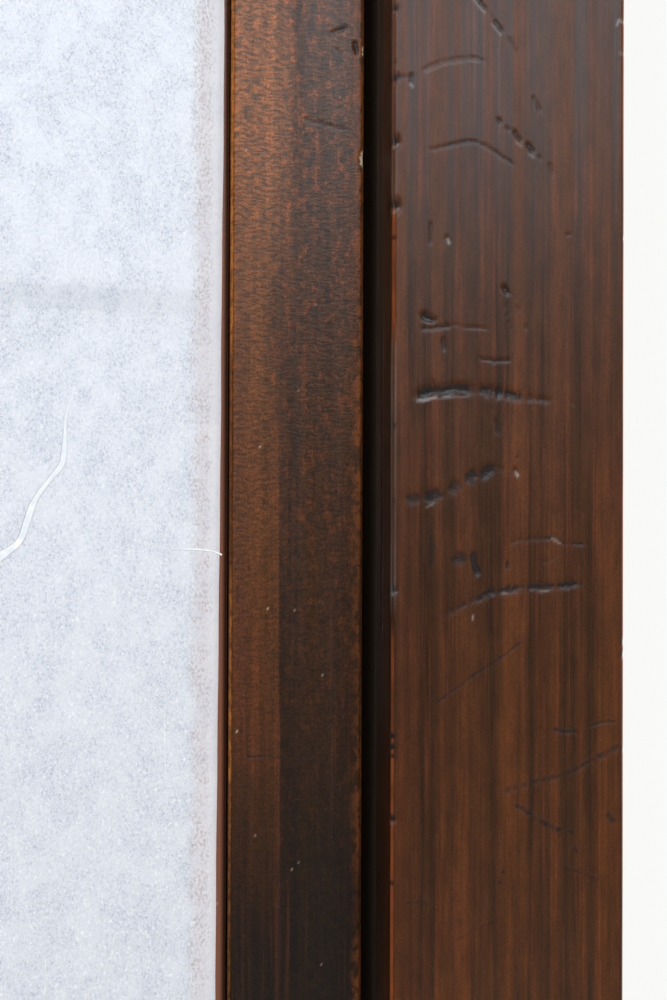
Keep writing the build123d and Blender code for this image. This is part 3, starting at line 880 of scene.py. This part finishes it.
def stileShape(x, y, z, outY):
    low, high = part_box("front_pull_stile")
    arris, bare = np.zeros(x.shape), np.zeros(x.shape)
    front = (outY < -0.9) & (y < low.y + 0.001)
    ledge = (outY < -0.9) & (y > low.y + 0.002)
    sink, dark = pressStrokes(stileStrokes, low.y, x, z, front)
    # the arris lines: worn wood with a painted highlight, strongest at the rows given
    for edgeX, share in ((stileStretch["stepX"], 1.0), (high.x, stileStretch["rightShine"])):
        fromEdge = np.hypot(x - edgeX, y - low.y)
        sink = sink + rubbedArris(fromEdge, z, 17, stileStretch["arrisWear"])
        strength = alongRows(stileStretch["shine"], low.y, z) * (0.6 + 0.4 * arrisWave(z, 13)) * share
        # on the chamfer and a little of the face
        line = smoothStep(1.25 - np.abs(fromEdge / mm - 0.5) / (0.12 + 0.18 * strength))
        arris = np.maximum(arris, line * strength)
    for chip in stileChips.values():
        top, bottom = (fromPhoto(stileStretch["right"], py, low.y).z for py in chip["rows"])
        across = np.hypot(x - high.x, y - low.y) / (chip["width"] * mm)
        up = (z - (top + bottom) / 2) / (abs(top - bottom) / 2)
        bite = smoothStep(1.2 - np.hypot(across, up)) * (0.75 + 0.25 * np.sin(z / mm * 4.1))
        sink = np.maximum(sink, bite * chip["depth"] * mm)
        bare = np.maximum(bare, smoothStep((bite - 0.25) / 0.3))
    random = np.random.default_rng(3)
    for kind, planeY, faces in (("specks", low.y, front), ("crumbs", stileDust["ledgeY"], ledge)):
        for px, py in stileDust[kind]:
            at = fromPhoto(px, py, planeY)
            size = stileDust["size"] * mm * random.uniform(0.7, 1.15)
            speck = smoothStep(1.5 - np.hypot(x - at.x, z - at.z) / size) * faces
            bare = np.maximum(bare, speck * random.uniform(0.2, 0.6))
            sink = sink - speck * stileDust["rise"] * mm
    return sink, (dark, arris * (1 - dark), bare)


def stileMaterial(name, wood, outerX, inward, darkened=True, marked=False):
    # curly wood, lighter beside the paper, redder in blots near the outer edge, dark where hands reach and
    # lighter away from there, the lighter top partly a painted sheen
    material, place = newMaterial(name)
    x, y, z = partsOf(place)
    streaks, hairs, pores, clouds = woodGrain(place, wood, "Z")
    across = (x - outerX) * inward  # metres from the outer edge
    wander = grainNoise(place, "Z", wood["drift"], 3.0) - 0.5
    away = abs(z - wood["handHeight"])
    clear = maths("POWER", ramp(wander * 0.05 + away, *wood["handReach"], kind="LINEAR"), 1.15)
    if not darkened:
        clear = clear * 0.25 + 0.45
    sharp = ramp(wander * 0.0015 + across, wood["strip"], wood["strip"] + 0.0006)
    soft = ramp(wander * 0.012 + across, wood["strip"] - 0.004, wood["strip"] + 0.005)
    strip = ramp(clear, 0.3, 0.6) * (soft - sharp) + sharp
    # darker away from the paper, and where hands reach; lighter away from hand height, which towards the top is
    # partly a painted sheen
    tone = blend(clear * (strip * 0.65 + 0.33), wood["shade"], wood["light"])
    reddened = strip * (clear * -0.8 + 0.8) * ramp(away, *wood["redEnd"], 0.3, 1.0)
    tone = blend(reddened * ramp(streaks, 0.35, 0.65), tone, wood["red"])
    # ripples that lean one way and then the other, each narrow column with its own beat
    lean = maths("PINGPONG", wander * 0.002 + across, wood["chevron"]) * wood["tilt"]
    level = z + (wander * 0.003 + lean)
    rippleAt = field(place.tree, "ShaderNodeCombineXYZ", {0: x * wood["ripples"], 2: level * wood["curl"]})
    ripple = ramp(noise(rippleAt, 1.0, 2.0, 0.6), 0.36, 0.64)
    strength = (clear * 0.70 + 0.18) * (strip * 0.35 + 0.65) * ramp(clouds, 0.3, 0.6, 0.6, 1.0)
    tone = blend(strength, tone, blend(ripple, wood["trough"], wood["crest"]), "MULTIPLY")
    fine = ramp(grainNoise(place, "Z", wood["grit"], 1.0), 0.3, 0.7)
    tone = blend(1.0, tone, blend(fine, wood["fineDark"], wood["fineLight"]), "MULTIPLY")
    bands = ramp(grainNoise(place, "Z", wood["bands"], 2.0, 0.6), 0.3, 0.7)
    tone = blend(clear * 0.4 + 0.6, tone, blend(bands, wood["bandDark"], wood["bandLight"]), "MULTIPLY")
    # small upright blots away from the paper
    blots = grainNoise(place, "Z", wood["blots"], 3.0, 0.75)
    slates = grainNoise(place, "Z", wood["slates"], 3.0, 0.75, shift=(3.1, 0.0, 5.7))
    inBlots = (strip * -0.8 + 1.0) * (clear * 0.60 + 0.35)
    tone = blend(ramp(slates, 0.46, 0.62) * inBlots, tone, wood["slate"], "MULTIPLY")
    tone = blend(ramp(blots, 0.52, 0.64) * inBlots, tone, wood["ember"], "MULTIPLY")
    tone = blend(ramp(hairs, 0.52, 0.76, 0.0, 0.25), tone, wood["red"])
    tone = blend(ramp(pores, 0.56, 0.76, 0.0, 0.35), tone, wood["pore"])
    rim = ramp(across, *wood["rim"]) * ramp(clouds, 0.42, 0.56) * ramp(blots, 0.42, 0.56, 0.15, 1.0)
    tone = blend(rim, tone, wood["line"])
    # the ledge, with a painted shade beside its step
    onLedge = ramp(across, wood["face"], wood["face"] + 0.0002)
    tone = blend(onLedge * 0.75, tone, wood["ledge"])
    stepShade = onLedge * ramp(across - wood["face"], *wood["stepShade"])
    # painted shade also on every side that faces along X, in the gap to the jamb and on the wall of the step
    paintedShade = maths("MAXIMUM", stepShade, sideFace(place.tree))
    tone = blend(paintedShade * 0.92, tone, wood["paintedShade"])
    height = ripple * 0.22 + pores * -0.5 + streaks
    breaks = grainNoise(place, "Z", wood["breaks"], 3.0, 0.6)
    if marked:
        firm = ramp(grainNoise(place, "Z", wood["flakes"], 2.0, 0.7), 0.38, 0.6, 0.35, 1.0)
        tone, height = addMarks(place, wood, tone, height, firm * ramp(breaks, 0.30, 0.60, 0.7, 1.0))
    else:
        tone = blend(wornEdge(place.tree) * ramp(breaks, 0.30, 0.6, 0.0, 0.5), tone, wood["arris"])
    finishWood(wood, tone, streaks, height, paintedShade)
    return material


# Steel of the corner screws

screwSteel = {
    "bright": colour(150, 148, 144), "dull": colour(84, 80, 76), "rust": colour(96, 58, 36),
    "rough": 0.42, "relief": 0.00003,
    "film": 700.0, "rustSpots": 300.0, "turning": (900.0, 5200.0),  # per metre, the last across and along X
}


def steelMaterial(name, steel):
    material, place = newMaterial(name)
    film = noise(place, steel["film"], 4.0, 0.6)
    turned = grainNoise(place, "X", steel["turning"])
    tone = blend(ramp(film, 0.35, 0.65), steel["dull"], steel["bright"])
    tone = blend(ramp(noise(place, steel["rustSpots"], 3.0), 0.6, 0.75, 0.0, 0.6), tone, steel["rust"])
    rough = ramp(film, 0.3, 0.7, steel["rough"] + 0.15, steel["rough"])
    finishSurface({"Base Color": tone, "Metallic": 1.0, "Roughness": rough}, turned, steel["relief"])
    return material


# Paper

washi = {
    # the cool tone is a painted light that makes the sheet paler and bluer towards the top
    "cool": colour(238, 242, 250), "plain": colour(227, 229, 235), "speck": colour(178, 188, 205),
    "fleck": colour(251, 252, 253), "margin": colour(238, 233, 237), "rim": colour(246, 244, 248),
    "crumb": colour(172, 156, 148), "seeThrough": 0.24, "relief": 0.00005,
    "thickness": 0.00023, "gap": 0.00002,  # gap keeps the back clear of the wood behind
    "step": 0.012, "rowStep": 0.004, "edgeRow": 0.004,
    "edgeWander": 0.00012, "edgeWaves": ((71, 1.0, 0.6), (193, 1.7, 0.4)),  # radians a metre, shift, share
    # the size of each pattern, per metre across and up
    "clouds": (190.0, 133.0), "grain": (1800.0, 1440.0), "flecks": (1500.0, 1200.0),
    "stains": (1500.0, 1050.0),
    # metres past the lattice opening, and from the middle of a bar
    "pasted": (-0.0016, 0.0012), "rimFrom": (0.0020, 0.0050), "stained": (0.0014, 0.0038),
    "onBar": (0.0026, 0.0034),
    "edgeColumn": 220,  # of the cut edge, in the photo
    "cutIn": [(0, 0.0), (200, 0.16), (400, 0.5), (600, 0.65), (800, 1.15), (1000, 1.15)],  # row, mm cut off
    "cutFade": 0.25,  # metres past the photo over which the edge comes back to its line
}


def distanceToLines(value, first, pitch):
    # distance from evenly spaced lines
    steps = (value - first) / pitch
    return abs(steps - maths("ROUND", steps)) * pitch


def paperMaterial(name, paper, panel):
    material, place = newMaterial(name)
    x, y, z = partsOf(place)
    clouds = grainNoise(place, "Z", paper["clouds"], 3.0, 0.6)
    grain = grainNoise(place, "Z", paper["grain"], 2.0, 0.7, distortion=0.8)
    flecks = grainNoise(place, "Z", paper["flecks"], 2.0, 0.7, distortion=0.8, shift=(10950.0, 0.0, 4350.0))
    # paler and bluer towards the top: a painted light
    tone = blend(ramp(noise(place, 6.0) * 0.05 + z, 1.16, 1.46), paper["plain"], paper["cool"])
    tone = blend(ramp(clouds, 0.35, 0.7, 0.0, 0.14), tone, paper["speck"])
    tone = blend(ramp(grain, 0.46, 0.68) * ramp(clouds, 0.32, 0.68, 0.25, 0.8), tone, paper["speck"])
    tone = blend(ramp(flecks, 0.50, 0.72, 0.0, 0.8), tone, paper["fleck"])
    # the pasted margin, past the lattice opening
    fromSide = abs(x - panel["middleX"]) - panel["halfWidth"]
    fromEnd = abs(z - panel["middleZ"]) - panel["halfHeight"]
    outside = maths("MAXIMUM", fromSide, fromEnd)
    seeped = (clouds - 0.5) * 0.003 + outside
    margin = blend(ramp(outside, *paper["rimFrom"]), paper["margin"], paper["rim"])
    tone = blend(ramp(seeped, *paper["pasted"]) * 0.65, tone, margin)
    stains = ramp(grainNoise(place, "Z", paper["stains"], 3.0, 0.65), 0.42, 0.66, 0.0, 0.56)
    patches = ramp(noise(place, 260.0), 0.35, 0.6, 0.35, 1.0)
    band = ramp(abs(seeped - 0.0010), *paper["stained"], 1.0, 0.0)
    tone = blend(band * patches * stains, tone, paper["crumb"])
    # where it is pasted to a bar: a paste stain, and a painted shade of the bar behind the sheet
    row = distanceToLines(z, panel["rowZ"], panel["rowPitch"])
    column = distanceToLines(x, panel["columnX"], panel["columnPitch"])
    onBar = ramp(maths("MINIMUM", row, column), *paper["onBar"], 1.0, 0.0)
    tone = blend(onBar * ramp(noise(place, 90.0), 0.3, 0.7, 0.0, 0.12), tone, paper["speck"])
    look = {"Base Color": tone, "Roughness": 0.8, "Specular IOR Level": 0.2}
    finishSurface(look, grain + clouds, paper["relief"], paper["seeThrough"])
    return material


def panelLayout(name):
    # where the lattice of a panel is, from its nodes
    sides = sorted((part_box(f"{name}_{kind}_stile") for kind in ("pull", "meeting")), key=lambda box: box[0].x)
    rails = [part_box(f"{name}_{kind}_rail") for kind in ("bottom", "top")]
    rows = [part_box(f"{name}_cross_bar_{i}") for i in (1, 2)]
    columns = [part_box(f"{name}_upright_{i}") for i in (1, 2)]
    left, right = sides[0][1].x, sides[1][0].x
    bottom, top = rails[0][1].z, rails[1][0].z
    return {
        "middleX": (left + right) / 2, "halfWidth": (right - left) / 2,
        "middleZ": (bottom + top) / 2, "halfHeight": (top - bottom) / 2,
        "rowZ": (rows[0][0].z + rows[0][1].z) / 2, "rowPitch": rows[1][0].z - rows[0][0].z,
        "columnX": (columns[0][0].x + columns[0][1].x) / 2, "columnPitch": columns[1][0].x - columns[0][0].x,
    }


def spacedPlaces(low, high, step):
    # even steps, with one close row beside each end
    edge = washi["edgeRow"]
    count = max(2, round((high - low - 2 * edge) / step))
    return np.concatenate([[low], np.linspace(low + edge, high - edge, count + 1), [high]])


def edgeWave(t, seed):
    # how far a cut edge strays from straight, in metres
    waves = [share * np.sin(t * turn + seed * shift) for turn, shift, share in washi["edgeWaves"]]
    return washi["edgeWander"] * sum(waves)


def paperSheet(name, node, material, askew):
    low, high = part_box(node)
    xs = spacedPlaces(low.x, high.x, washi["step"])
    zs = spacedPlaces(low.z, high.z, washi["rowStep"])
    x, z = np.meshgrid(xs, zs)
    x[:, 0] += edgeWave(zs, 1.0)
    x[:, -1] += edgeWave(zs, 2.6)
    z[0, :] += edgeWave(xs, 4.1)
    z[-1, :] += edgeWave(xs, 5.3)
    if askew:
        heights = [fromPhoto(washi["edgeColumn"], py, high.y).z for py, _ in washi["cutIn"]]
        heights = [heights[0] + washi["cutFade"]] + heights + [heights[-1] - washi["cutFade"]]
        cuts = [0.0] + [cut * mm for _, cut in washi["cutIn"]] + [0.0]
        x[:, -1] -= np.interp(zs, heights[::-1], cuts[::-1])
    back = np.full(x.shape, high.y - washi["gap"])
    skins = [np.stack([x, y, z], -1).reshape(-1, 3) for y in (back - washi["thickness"], back)]
    shift = x.size  # from a front vertex to the one behind it
    index = np.arange(shift).reshape(x.shape)
    faces = []
    corners = (index[:-1, :-1], index[:-1, 1:], index[1:, 1:], index[1:, :-1])
    for a, b, c, d in zip(*(side.ravel().tolist() for side in corners)):
        faces.append((a, b, c, d))
        faces.append((a + shift, d + shift, c + shift, b + shift))
    rim = np.concatenate([index[0], index[1:, -1], index[-1, :-1][::-1], index[1:-1, 0][::-1]]).tolist()
    for a, b in zip(rim, rim[1:] + rim[:1]):
        faces.append((a, a + shift, b + shift, b))
    return meshObject(name, np.concatenate(skins), faces, material)


# Long white fibres on the paper

fibreLook = {
    "white": colour(248, 249, 248), "tone": colour(229, 235, 243), "seeThrough": 0.06,
    "fade": (1.282, 1.312),  # heights between which the long fibres sink into the sheet
}

strayLook = {**fibreLook, "white": colour(240, 243, 247), "tone": colour(228, 233, 240), "fade": (9.0, 9.1)}

photoFibres = {  # the fibres that the photo shows, in its pixels, with their width in mm at each point
    "bigBottom": [(-14, 566, 2.3), (5, 554, 2.2), (19, 541, 2.0), (27, 521, 1.7), (35, 501, 1.6),
                  (49, 480, 1.5), (62, 463, 1.5), (65, 441, 1.2), (66, 415, 0.8), (75, 386, 0.3)],
    "loop": [(13, 338, 0.3), (18, 358, 0.4), (23, 376, 0.4), (34, 388, 0.4), (42, 383, 0.4),
             (45, 366, 0.3), (44, 345, 0.2)],
    "tall": [(37, 232, 0.2), (41, 210, 0.3), (43, 188, 0.3), (45, 165, 0.2)],
    "topRight": [(205, -8, 0.3), (208, 14, 0.3), (215, 40, 0.2)],
    "crossing": [(170, 549, 0.3), (185, 549, 0.5), (205, 550, 0.6), (215, 552, 0.6), (222, 555, 0.5)],
    "lowRight": [(166, 700, 0.2), (164, 730, 0.3), (165, 760, 0.3), (165, 790, 0.2)],
    "lowLeft": [(45, 958, 0.2), (46, 980, 0.3), (43, 1003, 0.3)],
    "faintLeft": [(-5, 470, 0.3), (10, 476, 0.3), (20, 482, 0.2)],
}

bundle = {  # a broad fibre is a bundle of thin ones
    "from": 0.8, "strands": 5, "spread": 0.5, "share": 0.50, "least": 0.12,  # mm, and shares of its width
    "rise": 0.01, "stagger": 0.002,  # mm above the sheet, and mm from one strand to the next
}

strayFibres = {  # the same kind of fibre all over both sheets
    "Count": 420, "Length": 0.034, "Radius": 0.00010, "Bend": 0.016, "Flatness": 0.20, "Seed": 11,
}

strayShape = {
    "sizes": (0.35, 1.7),  # the least and the most, as shares of the length
    "points": 15, "sides": 5,  # along a fibre, and round it
    "bends": 34.0,  # per metre, the size of the pattern that bends the fibres
}


def fibreMaterial(name, look):
    material, place = newMaterial(name)
    tone = blend(ramp(noise(place, 500.0), 0.35, 0.65), look["tone"], look["white"])
    tone = blend(ramp(partsOf(place)[2], *look["fade"], 0.0, 0.8), tone, look["tone"])
    matt = {"Base Color": tone, "Roughness": 0.7, "Specular IOR Level": 0.3}
    finishSurface(matt, seeThrough=look["seeThrough"])
    return material


def curvedThrough(points, steps=6):
    # more points between the given ones, on a smooth line through them
    points = [np.array(p, float) for p in points]
    ends = [2 * points[0] - points[1]] + points + [2 * points[-1] - points[-2]]
    line = []
    for a, b, c, d in zip(ends, ends[1:], ends[2:], ends[3:]):
        for t in np.arange(steps) / steps:
            line.append(0.5 * (2 * b + (c - a) * t + (2 * a - 5 * b + 4 * c - d) * t ** 2
                               + (3 * b - a - 3 * c + d) * t ** 3))
    return line + [points[-1]]


def wayAt(line, k):
    # direction of a line of (x, z, width) at its point k
    before, after = line[max(k - 1, 0)], line[min(k + 1, len(line) - 1)]
    angle = math.atan2(after[1] - before[1], after[0] - before[0])
    return math.cos(angle), math.sin(angle)


def flatStrand(line, surfaceY, rise, vertices, faces, sides=6):
    # one closed, flattened strand lying on the sheet; line holds x, z and width in metres
    start, count = len(vertices), len(line)
    for k, (x, z, width) in enumerate(line):
        wayX, wayZ = wayAt(line, k)
        for s in range(sides):
            angle = 2 * math.pi * s / sides
            across, out = math.cos(angle) * width / 2, math.sin(angle) * rise
            vertices.append((x - wayZ * across, surfaceY - out, z + wayX * across))
    for k in range(count - 1):
        for s in range(sides):
            a, b = start + k * sides + s, start + k * sides + (s + 1) % sides
            faces.append((a, b, b + sides, a + sides))
    faces.append(tuple(start + s for s in range(sides))[::-1])
    faces.append(tuple(start + (count - 1) * sides + s for s in range(sides)))


def photoFibreObject(name, surfaceY, material):
    vertices, faces = [], []
    random = np.random.default_rng(5)
    for fibre in photoFibres.values():
        places = [(fromPhoto(px, py, surfaceY), width * mm) for px, py, width in fibre]
        line = curvedThrough([(at.x, at.z, width) for at, width in places])
        alone = max(width for _, _, width in line) < bundle["from"] * mm
        strands = 1 if alone else bundle["strands"]
        for s in range(strands):
            offset = 0.0 if alone else (s / (strands - 1) - 0.5) * bundle["spread"]
            phase = random.uniform(0, 6.28)
            strand = []
            for k, (x, z, width) in enumerate(line):
                wayX, wayZ = wayAt(line, k)
                lean = 0.0 if alone else offset * width + 0.10 * width * math.sin(k * 0.35 + phase)
                thin = width if alone else max(width * bundle["share"], bundle["least"] * mm)
                strand.append((x - lean * wayZ, z + lean * wayX, thin))
            rise = (bundle["rise"] + bundle["stagger"] * (s * 3 % 5)) * mm
            flatStrand(strand, surfaceY, rise, vertices, faces)
    return meshObject(name, vertices, faces, material)


def strayFibreTree(material):
    # points all over the sheet, and a bent, tapered and flattened strand at each one
    tree = bpy.data.node_groups.new("strayFibres", "GeometryNodeTree")
    kinds = {"Geometry": "Geometry", "Count": "Int", "Length": "Float", "Radius": "Float", "Bend": "Float",
             "Flatness": "Float", "Surface": "Float", "Seed": "Int"}
    for label, kind in kinds.items():
        tree.interface.new_socket(label, in_out="INPUT", socket_type="NodeSocket" + kind)
    tree.interface.new_socket("Geometry", in_out="OUTPUT", socket_type="NodeSocketGeometry")
    given = {one.socket.name: one for one in fields(tree, "NodeGroupInput")}
    seeded = {"Seed": given["Seed"]}
    box, low, high = fields(tree, "GeometryNodeBoundBox", {0: given["Geometry"]})[:3]
    spread = {0: low, 1: high, "ID": field(tree, "GeometryNodeInputIndex"), **seeded}
    place = field(tree, "FunctionNodeRandomValue", spread, data_type="FLOAT_VECTOR")
    points = field(tree, "GeometryNodePoints", {"Count": given["Count"], "Position": place})
    half = given["Length"] * 0.5
    start, end = (field(tree, "ShaderNodeCombineXYZ", {2: z}) for z in (half * -1.0, half))
    line = field(tree, "GeometryNodeCurvePrimitiveLine", {"Start": start, "End": end})
    line = field(tree, "GeometryNodeResampleCurve", {"Curve": line, "Count": strayShape["points"]})
    turns = {0: (0, 0, 0), 1: (0, math.tau, 0), **seeded}
    turn = field(tree, "FunctionNodeRandomValue", turns, data_type="FLOAT_VECTOR")
    least, most = strayShape["sizes"]
    size = field(tree, "FunctionNodeRandomValue", {2: least, 3: most, **seeded}, 1, data_type="FLOAT")
    each = {"Points": points, "Instance": line, "Rotation": turn, "Scale": size}
    placed = field(tree, "GeometryNodeInstanceOnPoints", each)
    lines = field(tree, "GeometryNodeRealizeInstances", {0: placed})
    at = field(tree, "GeometryNodeInputPosition")
    bent = moved(at, noise(at, strayShape["bends"], 1.0, output="Color"), given["Bend"])
    bent = vectorMaths("MULTIPLY", bent, (1, 0, 1))
    lines = field(tree, "GeometryNodeSetPosition", {"Geometry": lines, "Position": bent})
    along = field(tree, "GeometryNodeSplineParameter", output="Factor")
    taper = maths("SINE", along * (math.pi * 0.9) + math.pi * 0.05)
    around = {"Resolution": strayShape["sides"], "Radius": given["Radius"]}
    ring = field(tree, "GeometryNodeCurvePrimitiveCircle", around)
    tube = {"Curve": lines, "Profile Curve": ring, "Scale": taper, "Fill Caps": True}
    strands = field(tree, "GeometryNodeCurveToMesh", tube)
    x, y, z = partsOf(field(tree, "GeometryNodeInputPosition"))
    pressed = y * given["Flatness"] + given["Surface"]
    flat = field(tree, "ShaderNodeCombineXYZ", {0: x, 1: pressed, 2: z})
    strands = field(tree, "GeometryNodeSetPosition", {"Geometry": strands, "Position": flat})
    real = field(tree, "GeometryNodeRealizeInstances", {0: strands})
    done = field(tree, "GeometryNodeSetMaterial", {"Geometry": real, "Material": material})
    addNode(tree, "NodeGroupOutput", {0: done})
    return tree


def strayFibreObject(name, node, surfaceY, material, seed):
    low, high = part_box(node)
    inset = strayFibres["Length"]
    xs, zs = ((low[axis] + inset, high[axis] - inset) for axis in (0, 2))
    maker = meshObject(name + "Maker", [(x, surfaceY, z) for x in xs for z in zs], [(0, 1, 3, 2)], material)
    modifier = maker.modifiers.new("strayFibres", "NODES")
    modifier.node_group = strayFibreTree(material)
    values = dict(strayFibres, Surface=surfaceY, Seed=strayFibres["Seed"] + seed)
    for item in modifier.node_group.interface.items_tree:
        if item.in_out == "INPUT" and item.name in values:
            modifier[item.identifier] = values[item.name]
    made = maker.evaluated_get(bpy.context.evaluated_depsgraph_get())
    mesh = bpy.data.meshes.new_from_object(made)
    bpy.data.objects.remove(maker)
    mesh.name = name
    return link(name, mesh)


# Every piece gets its finish

def finish(name, material):
    slots = nodes[name].material_slots
    if not len(slots):
        nodes[name].data.materials.append(material)
    for slot in slots:
        slot.material = material


def dressFrame():
    finish("left_jamb", woodMaterial("jambOil", jambWood))
    for name in ("head", "sill"):
        finish(name, woodMaterial(name + "Oil", jambWood, axis="X"))
    finish("corner_screws", steelMaterial("brushedSteel", screwSteel))
    dented = woodMaterial("jambDented", jambWood, marked=True)
    jamb = wornPiece("right_jamb_worn", nodes["right_jamb"], jambStretch, jambShape, dented)
    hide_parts("right_jamb")
    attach(jamb, "frame")


def dressStiles(panel, handSide):
    # the pull stile is on the hand's side, and each stile's outer edge looks away from the paper
    body = panel + "_panel"
    pull, meeting = panel + "_pull_stile", panel + "_meeting_stile"
    outer = {stile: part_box(stile)[1 if side > 0 else 0].x
             for stile, side in ((pull, handSide), (meeting, -handSide))}
    finish(meeting, stileMaterial(meeting + "Wood", stileWood, outer[meeting], handSide, darkened=False))
    if panel == "front":
        wearAndGlints = stileMaterial("pullStileWorn", stileWood, outer[pull], -handSide, marked=True)
        stile = wornPiece("front_pull_stile_worn", nodes[pull], stileStretch, stileShape, wearAndGlints)
        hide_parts(pull)
        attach(stile, body)
    else:
        finish(pull, stileMaterial(pull + "Wood", stileWood, outer[pull], -handSide))


def dressLattice(panel):
    # gives the names of the bars that the paper rests on
    for rail in ("top_rail", "bottom_rail"):
        finish(f"{panel}_{rail}", woodMaterial(f"{panel}_{rail}Wood", stileWood, axis="X"))
    across = woodMaterial(panel + "BarWood", latticeWood, axis="X")
    upright = woodMaterial(panel + "UprightWood", latticeWood)
    bars = {f"{panel}_cross_bar_{i}": across for i in range(1, 8)}
    bars.update({f"{panel}_upright_{i}": upright for i in (1, 2)})
    for name, wood in bars.items():
        finish(name, wood)
    return list(bars)


def dressPaper(panel, lattice):
    body = panel + "_panel"
    sheetNode = panel + "_paper"
    low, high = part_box(sheetNode)
    look = paperMaterial(panel + "Washi", washi, panelLayout(panel))
    paper = paperSheet(panel + "_washi", sheetNode, look, panel == "front")
    surfaceY = high.y - washi["gap"] - washi["thickness"]
    strands = fibreMaterial(panel + "Fibre", fibreLook)
    faint = fibreMaterial(panel + "FaintFibre", strayLook)
    fibres = [strayFibreObject(panel + "_stray_fibres", sheetNode, surfaceY, faint, 3 * (panel == "rear"))]
    if panel == "front":
        fibres.append(photoFibreObject("front_long_fibres", surfaceY, strands))
    for piece in [paper] + fibres:
        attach(piece, body)
    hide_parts(sheetNode)


dressFrame()
print("frame dressed")
for panel, handSide in (("front", 1), ("rear", -1)):
    dressStiles(panel, handSide)
    dressPaper(panel, dressLattice(panel))
    print(panel, "panel dressed")
